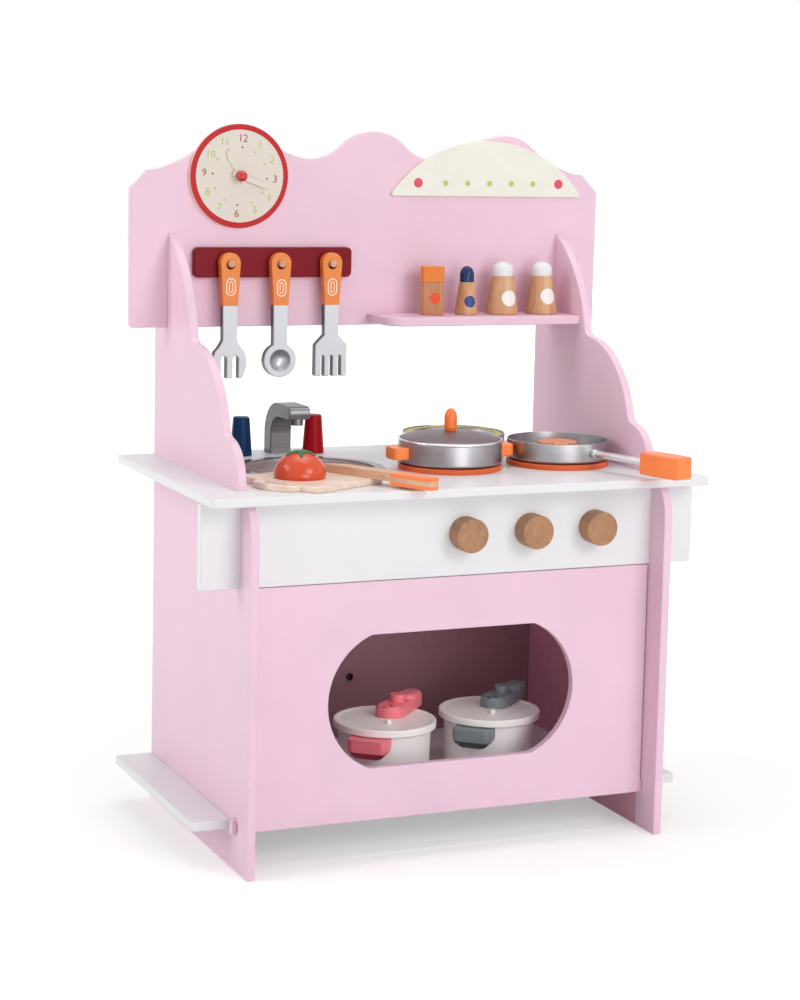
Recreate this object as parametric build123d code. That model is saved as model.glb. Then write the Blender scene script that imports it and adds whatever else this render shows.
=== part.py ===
from build123d import *
import math
import os

os.makedirs("parts", exist_ok=True)

# Play kitchen of 10 mm painted board. Millimetres, +Z up, +X to the right as the cook
# faces it. Inside this file Y = 0 is the back edge of the side boards and the front is
# negative; everything is moved at export so that the origin is the middle of the footprint.

# Carcass
WIDTH = 600.0
BOARD = 10.0
SIDE_OUT = 255.0
SIDE_IN = SIDE_OUT - BOARD
SLOT = 0.1
HOLE_DEEP = 7.0
ROOM = 0.3
SIDE_DEPTH = 340.0
WORKTOP_DEPTH = SIDE_DEPTH + 4
SHELF_Z = 44.5
SHELF_DEPTH = SIDE_DEPTH - 51
DOOR_FRONT = 33 - SIDE_DEPTH
WORKTOP_Z = 408.0
TOP = WORKTOP_Z + BOARD
APRON_Z = WORKTOP_Z - 94.4
NECK_Y = DOOR_FRONT + BOARD + SLOT
HORN_Z = WORKTOP_Z - 42
HORN_Y = 15 - SIDE_DEPTH
BACKBOARD_Y = -38.0
WALL_Y = BACKBOARD_Y - BOARD
BACKBOARD_Z0 = 571.0
LAP_Z = 621.0
LAP_TOP = 680.0
EASE = 0.8

# Oven door
DOOR_GAP = 0.7
PIVOT_Z = 50.6
PIVOT_HALF_Z = 8.1
PIVOT_ROUND = 1.5
PIVOT_OUT = 260.0
PIVOT_RUN = 0.08
WINDOW_Z = (102.0, 253.0)
WINDOW_FLAT = 99.5
WINDOW_HALF = 150.5

# Controls
KNOB_X = (9.2, 90.2, 171.2)
KNOB_Z = WORKTOP_Z - 46.7
KNOB_R = 19.2
KNOB_DEEP = 22.0
DOWEL_R = 4.0
RUN = 0.05

# Sink and taps
SINK_X, SINK_Y, SINK_R = -118.0, -153.0, 88.0
SINK_BOWL_R = 80.0
SINK_DEEP = 44.0
STEEL = 1.2
FAUCET_X, FAUCET_W = -110.0, 26.0
FAUCET_BACK, FAUCET_FRONT, FAUCET_NOSE = -17.0, -40.0, -103.0
FAUCET_TOP, FAUCET_UNDER = TOP + 63, TOP + 47
TAP_X, TAP_Y = (-161.0, -69.5), -42.0
TAP_TALL = 46.0

# Hob, pot, pan and dish
HOB_R, HOB_TALL = 60.0, 6.0
POT_X, POT_Y = 38.0, -200.0
PAN_X, PAN_Y = 177.0, -201.0
POT_TALL, PAN_TALL = 26.0, 24.0
WALL = 1.5
LID_RISE, LID_RIM = 11.0, 3.0
ROD_TURN, ROD_Z, ROD_R = -73.0, TOP + HOB_TALL + 13, 4.25
ROD_LENGTH, GRIP_LENGTH = 84.0, 58.0
DISH_X, DISH_Y, DISH_R, DISH_TALL = 95.0, -86.0, 62.0, 26.0

# Back wall
CLOCK_X, CLOCK_Z, CLOCK_R, CLOCK_THICK = -171.0, 746.3, 60.0, 6.0
HAND_THICK, HAND_GAP = 1.5, 0.3
PLAQUE_X, PLAQUE_Z, PLAQUE_HALF, PLAQUE_TALL, PLAQUE_THICK = 148.6, 725.0, 129.5, 67.0, 4.0
RACK_X, RACK_Z, RACK_THICK = (-226.0, -30.0), (629.0, 664.0), 8.5
PEG_X, PEG_Z, PEG_R, PEG_FRONT = (-185.8, -123.4, -59.3), 645.8, 4.25, -74.0
TOOL_BACK, TOOL_THICK, TOOL_HOLE = -58.5, 11.0, 5.5
TOOL_NECK, NECK_Z, TOOL_END = 8.6, 557.0, 512.5
SPOON_R, SCOOP_RIM, SCOOP_DEEP = 20.0, 13.4, 6.0
SPICE_X0, SPICE_Y, SPICE_Z = -5.0, -120.0, 574.5
SPICE_TOP = SPICE_Z + BOARD
JAR_Y = -80.0
JAR_1_X, JAR_1_TURN = 65.0, -22.0

# Board, tomato and knife
CHOP_X, CHOP_Y, CHOP_TURN = -181.0, -340.0, 28.0
CHOP_W, CHOP_D, CHOP_THICK = 120.0, 110.0, 7.0
CHOP_TOP = TOP + CHOP_THICK
TOMATO_X, TOMATO_Y, TOMATO_R, TOMATO_TALL = -172.0, -265.0, 28.6, 29.0
LEAF_TURN = -106.0
KNIFE_X, KNIFE_Y, KNIFE_TURN = -80.0, -315.0, 116.2

# Pressure cookers on the shelf
COOKER_X, COOKER_Y = (-33.0, 103.0), (-192.0, -189.0)
COOKER_R, COOKER_BODY_R, COOKER_RIM_Z = 60.0, 54.0, 125.0
COOKER_TURN, LEVER_TURN = (50.0, 47.0), -9.0

parts = {}


def block(x0, x1, y0, y1, z0, z1):
    size = Box(abs(x1 - x0), abs(y1 - y0), abs(z1 - z0))
    return Pos((x0 + x1) / 2, (y0 + y1) / 2, (z0 + z1) / 2) * size


def upright(outline, back):
    """A board standing across the kitchen, its outline in X and Z, its back face at `back`."""
    return Pos(0, back, 0) * extrude(Plane.XZ * outline, amount=BOARD)


def rod(x, z, radius, y_back, y_front):
    """A round bar along Y."""
    length = abs(y_back - y_front)
    return Pos(x, (y_back + y_front) / 2, z) * Rot(90, 0, 0) * Cylinder(radius, length)


def post(x, y, radius, z0, z1):
    """A round bar along Z."""
    return Pos(x, y, (z0 + z1) / 2) * Cylinder(radius, z1 - z0)


def turned(points, x, y, z=0.0):
    """A turned piece: `points` are radius and height, joined by straight lines."""
    line = Polyline(*points, close=True)
    return Pos(x, y, z) * revolve(Plane.XZ * make_face(line), Axis.Z)


def crown(r, z0, z1):
    """Half the section of a dome: from the rim at `z0` to the middle at `z1`."""
    rise = z1 - z0
    return Bezier((r, z0), (r, z0 + 0.55 * rise), (0.55 * r, z1), (0, z1))


def eased(solid, axis, size=EASE):
    """Takes the sharp edge off both broad faces of a board."""
    broad = solid.faces().filter_by(axis).sort_by(axis)
    return chamfer(broad[0].edges() + broad[-1].edges(), size)


# Side boards: one piece from the floor to the back wall, with three scallops above the
# worktop and a horn in front of the apron.


def scallop(back, high):
    """A point of the scalloped edge, in shares of its way from wall to neck and up to the lap."""
    return (WALL_Y + (NECK_Y - WALL_Y) * back, WORKTOP_Z + (LAP_TOP - WORKTOP_Z) * high)


def side_outline():
    valley_1 = scallop(0.3415, 0.5662)
    valley_2 = scallop(0.7955, 0.2279)
    foot = scallop(1, 0.0588)
    edge = Line((0, 0), (-SIDE_DEPTH, 0))
    edge += Line((-SIDE_DEPTH, 0), (-SIDE_DEPTH, HORN_Z))
    edge += ThreePointArc((-SIDE_DEPTH, HORN_Z), (4 - SIDE_DEPTH, HORN_Z + 24), (HORN_Y, WORKTOP_Z))
    edge += Line((HORN_Y, WORKTOP_Z), (NECK_Y, WORKTOP_Z))
    edge += Line((NECK_Y, WORKTOP_Z), foot)
    edge += ThreePointArc(foot, scallop(0.9482, 0.1728), valley_2)
    edge += ThreePointArc(valley_2, scallop(0.6308, 0.4761), valley_1)
    edge += ThreePointArc(valley_1, scallop(0.2009, 0.8529), (WALL_Y, LAP_TOP))
    edge += Line((WALL_Y, LAP_TOP), (0, LAP_TOP))
    edge += Line((0, LAP_TOP), (0, 0))
    sheet = make_face(edge)
    valleys = (valley_1, valley_2)
    corners = sheet.vertices()
    hollows = [v for v in corners if min(math.dist((v.X, v.Y), spot) for spot in valleys) < 0.01]
    return fillet(hollows, 14.0)


def side_board(x0):
    solid = Pos(x0, 0, 0) * extrude(Plane.YZ * side_outline(), amount=BOARD)
    solid = eased(solid, Axis.X)
    x1 = x0 + BOARD
    solid -= block(x0 - 1, x1 + 1, -SHELF_DEPTH - ROOM, 1, SHELF_Z, SHELF_Z + BOARD + ROOM)
    apron_front = DOOR_FRONT - SLOT
    solid -= block(x0 - 1, x1 + 1, apron_front, NECK_Y, APRON_Z, WORKTOP_Z + 1)
    solid -= block(x0 - 1, x1 + 1, WALL_Y - SLOT, BACKBOARD_Y + SLOT, LAP_Z, LAP_TOP + 1)
    reach = math.hypot(BOARD / 2 - PIVOT_ROUND, PIVOT_HALF_Z - PIVOT_ROUND) + PIVOT_ROUND
    hole = Cylinder(reach + PIVOT_RUN, BOARD + 2)
    solid -= Pos(x0 + BOARD / 2, DOOR_FRONT + BOARD / 2, PIVOT_Z) * Rot(0, 90, 0) * hole
    return solid


parts["left_side_board"] = side_board(-SIDE_OUT)
parts["right_side_board"] = side_board(SIDE_IN)

# Bottom shelf: slides into the side boards from behind and sticks out on both sides.
shelf = block(-WIDTH / 2, WIDTH / 2, -SHELF_DEPTH, 0, SHELF_Z, SHELF_Z + BOARD)
shelf = fillet(shelf.edges().filter_by(Axis.Z), 3.0)
parts["bottom_shelf"] = eased(shelf, Axis.Z)

# Worktop: open slots from the back let it slide over the necks of the side boards.
worktop = block(-WIDTH / 2, WIDTH / 2, -WORKTOP_DEPTH, 0, WORKTOP_Z, TOP)
worktop = fillet(worktop.edges().filter_by(Axis.Z), 4.0)
worktop = eased(worktop, Axis.Z, 1.0)
for x0 in (-SIDE_OUT, SIDE_IN):
    worktop -= block(x0 - SLOT, x0 + BOARD + SLOT, NECK_Y - SLOT, 1, WORKTOP_Z - 1, TOP + 1)
worktop -= post(SINK_X, SINK_Y, SINK_BOWL_R + ROOM, WORKTOP_Z - 1, TOP + 1)
worktop -= post(SINK_X, SINK_Y, SINK_R + ROOM, TOP - STEEL, TOP + 1)
faucet_y = (FAUCET_BACK + FAUCET_FRONT) / 2
worktop -= post(FAUCET_X, faucet_y, DOWEL_R + RUN, WORKTOP_Z - 1, TOP + 1)
for x in TAP_X:
    worktop -= post(x, TAP_Y, 3.0, WORKTOP_Z - 1, TOP + 1)
parts["worktop"] = worktop

# Control apron: dropped into the side boards and held down by the worktop.
apron = block(-WIDTH / 2, WIDTH / 2, DOOR_FRONT, DOOR_FRONT + BOARD, APRON_Z, WORKTOP_Z)
apron = fillet(apron.edges().filter_by(Axis.Y), 3.0)
apron = eased(apron, Axis.Y)
for x in KNOB_X:
    apron -= rod(x, KNOB_Z, DOWEL_R, 0, -SIDE_DEPTH)
parts["control_apron"] = apron

# Oven door: one board whose lower corners run on into two pivots in the side boards.
door_half = SIDE_IN - DOOR_GAP
door_z0 = PIVOT_Z - PIVOT_HALF_Z
door_z1 = APRON_Z - DOOR_GAP
door_back = DOOR_FRONT + BOARD
door = block(-door_half, door_half, DOOR_FRONT, door_back, door_z0, door_z1)
z_low, z_high = WINDOW_Z
z_mid = (z_low + z_high) / 2
window = Line((-WINDOW_FLAT, z_low), (WINDOW_FLAT, z_low))
window += ThreePointArc((WINDOW_FLAT, z_low), (WINDOW_HALF, z_mid), (WINDOW_FLAT, z_high))
window += Line((WINDOW_FLAT, z_high), (-WINDOW_FLAT, z_high))
window += ThreePointArc((-WINDOW_FLAT, z_high), (-WINDOW_HALF, z_mid), (-WINDOW_FLAT, z_low))
window = make_face(window)
window = fillet(window.vertices(), 12.0)
door -= upright(window, door_back)
door = eased(door, Axis.Y)
for side in (-1, 1):
    pivot = block(
        side * (door_half - 6),
        side * PIVOT_OUT,
        DOOR_FRONT,
        door_back,
        door_z0,
        door_z0 + 2 * PIVOT_HALF_Z,
    )
    door += fillet(pivot.edges().filter_by(Axis.X), PIVOT_ROUND)
parts["oven_door"] = door

# Door stop: a strip behind the apron that the door closes against, with its magnet.
stop = block(-35, 35, door_back, door_back + BOARD, APRON_Z - 14, APRON_Z + 26)
parts["door_stop"] = eased(stop, Axis.Y)

# Lower back board, between the side boards, with one blind hole in its inner face.
back_z0 = SHELF_Z + BOARD
lower_back = block(-SIDE_IN, SIDE_IN, -BOARD, 0, back_z0, WORKTOP_Z)
lower_back -= rod(-3, 130, 4.8, HOLE_DEEP - BOARD, -BOARD - 1)
parts["lower_back_board"] = lower_back

# Backboard: its cloud-shaped top is one wave mirrored about the middle, and two slots
# from below cross the side boards.


WAVE = ((0, 800.5), (40, 784), (93, 768.6), (132, 785.5), (171, 798.5), (208, 785.5))
WAVE += ((264, 754.5), (WIDTH / 2 - 21, 752.6))
WAVE_END = 731.0


def backboard_outline():
    half = WIDTH / 2
    edge = Line((-half, BACKBOARD_Z0), (half, BACKBOARD_Z0))
    for side in (1, -1):
        points = [(side * x, z) for x, z in WAVE]
        heading = (side, 0)
        for start, end in zip(points, points[1:]):
            arc = TangentArc(start, end, tangent=heading)
            heading = arc % 1
            edge += arc
        edge += Line(points[-1], (side * half, WAVE_END))
        edge += Line((side * half, WAVE_END), (side * half, BACKBOARD_Z0))
    return make_face(edge)


backboard = upright(backboard_outline(), BACKBOARD_Y)
foot_corners = backboard.edges().filter_by(Axis.Y).group_by(Axis.Z)[0]
backboard = fillet(foot_corners, 4.0)
backboard = eased(backboard, Axis.Y)
for x0 in (-SIDE_OUT, SIDE_IN):
    backboard -= block(x0 - SLOT, x0 + BOARD + SLOT, 0, WALL_Y - 5, 0, LAP_Z)
parts["backboard"] = backboard

# Spice shelf: butts against the backboard and the right-hand side board.
spice = block(SPICE_X0, SIDE_IN, SPICE_Y, WALL_Y, SPICE_Z, SPICE_TOP)
spice = fillet(spice.edges().filter_by(Axis.Z).sort_by(Axis.X)[:2].sort_by(Axis.Y)[0], 25.0)
parts["spice_shelf"] = eased(spice, Axis.Z)

# Rack with three pegs for the hanging utensils.
rack = block(*RACK_X, WALL_Y - RACK_THICK, WALL_Y, *RACK_Z)
rack = fillet(rack.edges().filter_by(Axis.Y), 6.0)
rack = eased(rack, Axis.Y)
for x in PEG_X:
    rack -= rod(x, PEG_Z, PEG_R, WALL_Y + 1, PEG_FRONT)
parts["utensil_rack"] = rack
pegs = []
for x in PEG_X:
    peg = rod(x, PEG_Z, PEG_R, WALL_Y, PEG_FRONT)
    pegs.append(chamfer(peg.edges().sort_by(Axis.Y)[0], 0.8))
parts["utensil_pegs"] = Compound(children=pegs)

# Display panel: a segment of a circle, fixed flat on the backboard.
plaque_r = (PLAQUE_HALF**2 + PLAQUE_TALL**2) / (2 * PLAQUE_TALL)
segment = Line((-PLAQUE_HALF, 0), (PLAQUE_HALF, 0))
segment += ThreePointArc((PLAQUE_HALF, 0), (0, PLAQUE_TALL), (-PLAQUE_HALF, 0))
segment = make_face(segment)
segment = fillet(segment.vertices(), 3.0)
plaque = extrude(Plane.XZ * segment, amount=PLAQUE_THICK)
plaque = Pos(PLAQUE_X, WALL_Y, PLAQUE_Z) * plaque
parts["display_panel"] = eased(plaque, Axis.Y, 0.6)

# Clock: a disc, two loose hands and the ball-headed pin they turn on.
clock_front = WALL_Y - CLOCK_THICK
clock = rod(CLOCK_X, CLOCK_Z, CLOCK_R, WALL_Y, clock_front)
clock = chamfer(clock.edges().sort_by(Axis.Y)[0], 1.0)
clock -= rod(CLOCK_X, CLOCK_Z, 2.0, WALL_Y + 1, clock_front - 1)
parts["clock_disc"] = clock


def clock_hand(tip_x, tip_z, tail, back):
    """A flat hand with a pointed tip and a short tail, lying as it is set in the photo."""
    reach = math.hypot(tip_x, tip_z)
    turn = math.degrees(math.atan2(tip_z, tip_x))
    shape = Polyline((-tail, -2.2), (reach - 7, -3.2), (reach, 0), (reach - 7, 3.2), (-tail, 2.2))
    shape = make_face(shape + Line((-tail, 2.2), (-tail, -2.2)))
    hand = extrude(Plane.XZ * shape, amount=HAND_THICK)
    hand = Rot(0, -turn, 0) * hand
    hand = Pos(CLOCK_X, back, CLOCK_Z) * hand
    boss = rod(CLOCK_X, CLOCK_Z, 4.5, back, back - HAND_THICK)
    bore = rod(CLOCK_X, CLOCK_Z, 2.0 + RUN, back + 1, back - HAND_THICK - 1)
    return hand + boss - bore


hour_back = clock_front - HAND_GAP
minute_back = hour_back - HAND_THICK - HAND_GAP
pin_back = minute_back - HAND_THICK - HAND_GAP
parts["hour_hand"] = clock_hand(-16.8, 29.1, 10.0, hour_back)
parts["minute_hand"] = clock_hand(36.5, -12.9, 10.0, minute_back)
ball = Pos(CLOCK_X, pin_back - 3.5, CLOCK_Z) * Sphere(6.4)
ball -= block(CLOCK_X - 9, CLOCK_X + 9, pin_back, pin_back + 9, CLOCK_Z - 9, CLOCK_Z + 9)
parts["clock_pin"] = ball + rod(CLOCK_X, CLOCK_Z, 2.0, WALL_Y, pin_back - 1)

# Knobs: turned beech on dowels glued into the apron.
# The dowels of the knobs and of the taps make one node.
dowels = []
for number, x in enumerate(KNOB_X, 1):
    knob = rod(x, KNOB_Z, KNOB_R, DOOR_FRONT, DOOR_FRONT - KNOB_DEEP)
    knob = fillet(knob.edges().sort_by(Axis.Y)[0], 1.2)
    knob -= rod(x, KNOB_Z, DOWEL_R + RUN, DOOR_FRONT + 1, DOOR_FRONT - 15)
    parts[f"oven_knob_{number}"] = knob
    dowels.append(rod(x, KNOB_Z, DOWEL_R, DOOR_FRONT + BOARD, DOOR_FRONT - 14))

# Sink bowl: pressed sheet, its rim let in flush with the worktop.
r, w, t, low = SINK_R, SINK_BOWL_R, STEEL, TOP - SINK_DEEP
bowl = Line((0, low - t), (w - 22 - t, low - t))
bowl += ThreePointArc((w - 22 - t, low - t), (w - 7 - t, low + 5), (w - t, low + 20))
bowl += Polyline((w - t, low + 20), (w - t, TOP - t), (r, TOP - t), (r, TOP), (w - 3 * t, TOP))
bowl += Line((w - 3 * t, TOP), (w - 3 * t, low + 20))
bowl += ThreePointArc((w - 3 * t, low + 20), (w - 9 - 2 * t, low + 7), (w - 22 - 2 * t, low))
bowl += Polyline((w - 22 - 2 * t, low), (0, low), (0, low - t))
parts["sink_bowl"] = Pos(SINK_X, SINK_Y, 0) * revolve(Plane.XZ * make_face(bowl), Axis.Z)

# Faucet: a bent square bar on a pin through the worktop, with a short nozzle.
outer = FAUCET_TOP - TOP - 23
inner = outer - (FAUCET_TOP - FAUCET_UNDER) - 1
nose = (FAUCET_TOP - FAUCET_UNDER) / 2
bend_y, bend_z = FAUCET_BACK - outer, FAUCET_TOP - outer
knee_y = FAUCET_FRONT - inner
knee_z = FAUCET_UNDER - inner
diag = math.sqrt(0.5)
arch = Line((FAUCET_FRONT, TOP), (FAUCET_BACK, TOP))
arch += Line((FAUCET_BACK, TOP), (FAUCET_BACK, bend_z))
bend_mid = (bend_y + outer * diag, bend_z + outer * diag)
arch += ThreePointArc((FAUCET_BACK, bend_z), bend_mid, (bend_y, FAUCET_TOP))
arch += Line((bend_y, FAUCET_TOP), (FAUCET_NOSE + nose, FAUCET_TOP))
nose_mid = (FAUCET_NOSE, FAUCET_TOP - nose)
arch += ThreePointArc((FAUCET_NOSE + nose, FAUCET_TOP), nose_mid, (FAUCET_NOSE + nose, FAUCET_UNDER))
arch += Line((FAUCET_NOSE + nose, FAUCET_UNDER), (knee_y, FAUCET_UNDER))
knee_mid = (knee_y + inner * diag, knee_z + inner * diag)
arch += ThreePointArc((knee_y, FAUCET_UNDER), knee_mid, (FAUCET_FRONT, knee_z))
arch += Line((FAUCET_FRONT, knee_z), (FAUCET_FRONT, TOP))
faucet = extrude(Plane.YZ * make_face(arch), amount=FAUCET_W)
faucet = eased(Pos(FAUCET_X - FAUCET_W / 2, 0, 0) * faucet, Axis.X, 1.0)
faucet += post(FAUCET_X, faucet_y, DOWEL_R, WORKTOP_Z - 8, TOP + 1)
faucet += post(FAUCET_X, -92.0, 7.5, FAUCET_UNDER - 6.5, FAUCET_UNDER + 1)
faucet -= post(FAUCET_X, -92.0, 5.5, 458.0, 463.0)
parts["faucet"] = faucet

# Taps: two tapered knobs, each free to turn on a dowel glued into the worktop.
for name, x in zip(("cold_tap", "hot_tap"), TAP_X):
    tap = turned(
        [(0, 0), (13, 0), (13, 3), (9.9, TAP_TALL - 1.5), (8.4, TAP_TALL), (0, TAP_TALL)],
        x,
        TAP_Y,
        TOP,
    )
    tap -= post(x, TAP_Y, 3.0 + RUN, TOP - 1, TOP + 30)
    parts[name] = tap
dowels += [post(x, TAP_Y, 3.0, WORKTOP_Z, TOP + 29) for x in TAP_X]
parts["control_dowels"] = Compound(children=dowels)

# Hob rings: painted discs glued to the worktop.
rings = []
for x, y in ((POT_X, POT_Y), (PAN_X, PAN_Y)):
    ring = [(30, 0), (HOB_R - 0.6, 0), (HOB_R, 0.6), (HOB_R, HOB_TALL - 0.8)]
    ring += [(HOB_R - 0.8, HOB_TALL), (30, HOB_TALL)]
    rings.append(turned(ring, x, y, TOP))
parts["hob_rings"] = Compound(children=rings)
HOB_TOP = TOP + HOB_TALL

# Pot: spun shell, two side grips glued to the wall, a domed lid and its knob.
R, H, T = HOB_R, POT_TALL, WALL
shell = [(0, 0), (R - 3, 0), (R, 3), (R, H), (R - T, H), (R - T, 3.5), (R - 4, T), (0, T)]
parts["pot_shell"] = turned(shell, POT_X, POT_Y, HOB_TOP)
grips = []
for side in (-1, 1):
    x0, x1 = POT_X + side * (R - 6), POT_X + side * (R + 16)
    grip = block(x0, x1, POT_Y - 15, POT_Y + 15, HOB_TOP + 7, HOB_TOP + 21)
    end = grip.edges().filter_by(Axis.Z).group_by(Axis.X)[-1 if side > 0 else 0]
    grip = fillet(end, 6.0)
    grip = eased(grip, Axis.Z, 1.2)
    grips.append(grip - post(POT_X, POT_Y, R, HOB_TOP - 1, HOB_TOP + H + 1))
parts["pot_grips"] = Compound(children=grips)
LID_Z = HOB_TOP + POT_TALL
lip = R - T - 0.4
lid = Line((0, LID_RISE - T), (0, LID_RISE))
lid += Bezier((0, LID_RISE), (R * 0.36, LID_RISE), (R * 0.72, LID_RISE * 0.8), (R - 1, LID_RIM))
lid += Polyline((R - 1, LID_RIM), (R + 0.4, LID_RIM), (R + 0.9, LID_RIM - 0.5), (R + 0.9, 0))
lid += Polyline((R + 0.9, 0), (lip, 0), (lip, -3), (lip - T, -3), (lip - T, LID_RIM - T))
lid += Bezier(
    (lip - T, LID_RIM - T), (R * 0.7, LID_RISE * 0.76 - T), (R * 0.36, LID_RISE - T), (0, LID_RISE - T)
)
lid = Pos(POT_X, POT_Y, LID_Z) * revolve(Plane.XZ * make_face(lid), Axis.Z)
lid -= post(POT_X, POT_Y, 2.0, LID_Z, LID_Z + 20)
parts["pot_lid"] = lid
bullet = Line((0, 0), (6.0, 0))
bullet += Line((6.0, 0), (7.5, 4.0))
bullet += Line((7.5, 4.0), (7.5, 15.0))
bullet += crown(7.5, 15.0, 26.5)
bullet += Line((0, 26.5), (0, 0))
bullet = revolve(Plane.XZ * make_face(bullet), Axis.Z)
bullet = Pos(POT_X, POT_Y, LID_Z + LID_RISE) * bullet
parts["pot_lid_knob"] = bullet + post(POT_X, POT_Y, 2.0, LID_Z + 3, LID_Z + LID_RISE + 1)

# Pan: spun shell with a steel rod and a wooden grip pushed on the rod.
H = PAN_TALL
shell = [(0, 0), (R - 4.5, 0), (R - 1.5, 3), (R, H), (R - T, H), (R - 1.5 - T, 3.5)]
shell += [(R - 5, T), (0, T)]
pan_turn = Pos(PAN_X, PAN_Y, 0) * Rot(0, 0, ROD_TURN)


def along(x0, x1, radius):
    """A round bar leaving the pan at the height of its rod."""
    bar = Rot(0, 90, 0) * Cylinder(radius, x1 - x0)
    return pan_turn * (Pos((x0 + x1) / 2, 0, ROD_Z) * bar)


parts["pan_shell"] = turned(shell, PAN_X, PAN_Y, HOB_TOP) - along(R - 10, R + 10, 3.0)
collar = along(R - 0.2, R + 4, 5.3) - post(PAN_X, PAN_Y, R, HOB_TOP, HOB_TOP + H)
parts["pan_rod"] = along(R - 2.2, R + 3, 3.0) + collar + along(R + 2, R + ROD_LENGTH + 14, ROD_R)
x0, x1 = R + ROD_LENGTH, R + ROD_LENGTH + GRIP_LENGTH
boat = ThreePointArc((x0, -11.0), ((x0 + x1) / 2 - 3, -14.0), (x1, -11.0))
boat += Line((x1, -11.0), (x1, 11.0))
boat += ThreePointArc((x1, 11.0), ((x0 + x1) / 2 - 3, 14.0), (x0, 11.0))
boat += Line((x0, 11.0), (x0, -11.0))
boat = extrude(Plane.XY.offset(ROD_Z - 12.5) * make_face(boat), amount=25)
boat = eased(boat, Axis.Z, 1.2)
parts["pan_grip"] = pan_turn * boat - along(x0 - 1, x0 + 14, ROD_R)

# Serving dish: a straight-sided steel dish with its filling set just below the rim.
R, H = DISH_R, DISH_TALL
dish = [(0, 0), (R - 3, 0), (R, 3), (R, H), (R - T, H), (R - T, H - 1.5), (R - 11, H - 1.5)]
dish += [(R - 13, H - 5), (0, H - 5)]
parts["serving_dish"] = turned(dish, DISH_X, DISH_Y, TOP)

# Spice jars: one square, three turned, each with a cap glued on. The square one is turned
# a little on the shelf.
square_place = Pos(JAR_1_X, JAR_Y, SPICE_TOP) * Rot(0, 0, JAR_1_TURN)
square = block(-14, 14, -9.5, 9.5, 0, 40)
square = chamfer(square.edges().filter_by(Axis.Z), 3.5)
parts["jar_1_body"] = square_place * eased(square, Axis.Z, 0.8)
cap = block(-14, 14, -9.5, 9.5, 40, 58.5)
cap = chamfer(cap.edges().filter_by(Axis.Z), 3.5)
cap = fillet(cap.edges().group_by(Axis.Z)[-1], 1.5)
parts["jar_1_cap"] = square_place * cap
JARS = ((2, 110.5, 14.0, 9.0, 39.5, 8.6, 19.0), (3, 158.5, 19.6, 13.7, 46.5, 12.3, 17.0))
JARS += ((4, 211.3, 19.6, 13.7, 46.5, 12.3, 17.0),)
for number, x, foot, neck, tall, cap_r, cap_tall in JARS:
    body = [(0, 0), (foot - 1, 0), (foot, 1), (foot, 3), (neck, tall), (0, tall)]
    parts[f"jar_{number}_body"] = turned(body, x, JAR_Y, SPICE_TOP)
    dome = Line((0, 0), (cap_r, 0))
    dome += Line((cap_r, 0), (cap_r, cap_tall * 0.45))
    dome += crown(cap_r, cap_tall * 0.45, cap_tall)
    dome += Line((0, cap_tall), (0, 0))
    dome = revolve(Plane.XZ * make_face(dome), Axis.Z)
    parts[f"jar_{number}_cap"] = Pos(x, JAR_Y, SPICE_TOP + tall) * dome


# Hanging utensils: cut from board, hung by a hole that rests on the peg.
def utensil(x, head):
    """A tapered handle with a round top, joined to `head`, which is drawn about X = 0."""
    top = PEG_Z + 0.4
    neck = (TOOL_NECK, NECK_Z)
    grip = Polyline((-12.3, top), (-9.2, 597), (-neck[0], NECK_Z), neck, (9.2, 597), (12.3, top))
    grip = make_face(grip + Line((12.3, top), (-12.3, top)))
    shape = grip + Pos(0, top) * Circle(12.3) + head
    solid = extrude(Plane.XZ * shape, amount=TOOL_THICK)
    solid = eased(Pos(x, TOOL_BACK, 0) * solid, Axis.Y, 0.7)
    hole_z = PEG_Z + PEG_R - TOOL_HOLE
    return solid - rod(x, hole_z, TOOL_HOLE, TOOL_BACK + 1, TOOL_BACK - TOOL_THICK - 1)


def tine_gap(x0, x1, z0, z1):
    """The slot between two tines, round at its top."""
    width = x1 - x0
    slot = Pos((x0 + x1) / 2, (z0 + z1) / 2) * Rectangle(width, z1 - z0)
    return slot + Pos((x0 + x1) / 2, z1) * Circle(width / 2)


end = TOOL_END
bulb = Line((-TOOL_NECK, NECK_Z), (TOOL_NECK, NECK_Z))
bulb += ThreePointArc((TOOL_NECK, NECK_Z), (12.4, 550.4), (18.2, 543.5))
bulb += ThreePointArc((18.2, 543.5), (20.4, 530), (15.2, end))
bulb += Line((15.2, end), (-15.2, end))
bulb += ThreePointArc((-15.2, end), (-20.4, 530), (-18.2, 543.5))
bulb += ThreePointArc((-18.2, 543.5), (-12.4, 550.4), (-TOOL_NECK, NECK_Z))
bulb = make_face(bulb)
for gap in (tine_gap(-10.9, -3.6, end - 5, 535), tine_gap(3.6, 10.9, end - 5, 535)):
    bulb -= gap
parts["curved_fork"] = utensil(PEG_X[0], bulb)

spoon_z = end + SPOON_R
neck_face = Pos(0, NECK_Z - 5) * Rectangle(2 * TOOL_NECK, 12)
spoon = utensil(PEG_X[1], Pos(0, spoon_z) * Circle(SPOON_R) + neck_face)
scoop_r = (SCOOP_RIM**2 + SCOOP_DEEP**2) / (2 * SCOOP_DEEP)
scoop = Pos(PEG_X[1], TOOL_BACK - TOOL_THICK - scoop_r + SCOOP_DEEP, spoon_z) * Sphere(scoop_r)
parts["spoon"] = spoon - scoop

shoulder = NECK_Z + 4.5
head = Polyline((-TOOL_NECK, shoulder), (-20, 550), (-20, end), (20, end), (20, 550), (TOOL_NECK, shoulder))
head = make_face(head + Line((TOOL_NECK, shoulder), (-TOOL_NECK, shoulder)))
head = fillet(head.vertices().group_by(Axis.Y)[0], 2.0)
head = fillet(head.vertices().group_by(Axis.Y)[-2], 5.0)
for middle in (-10.6, 0, 10.6):
    head -= tine_gap(middle - 2.3, middle + 2.3, end - 5, 535.2)
parts["square_fork"] = utensil(PEG_X[2], head)

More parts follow.
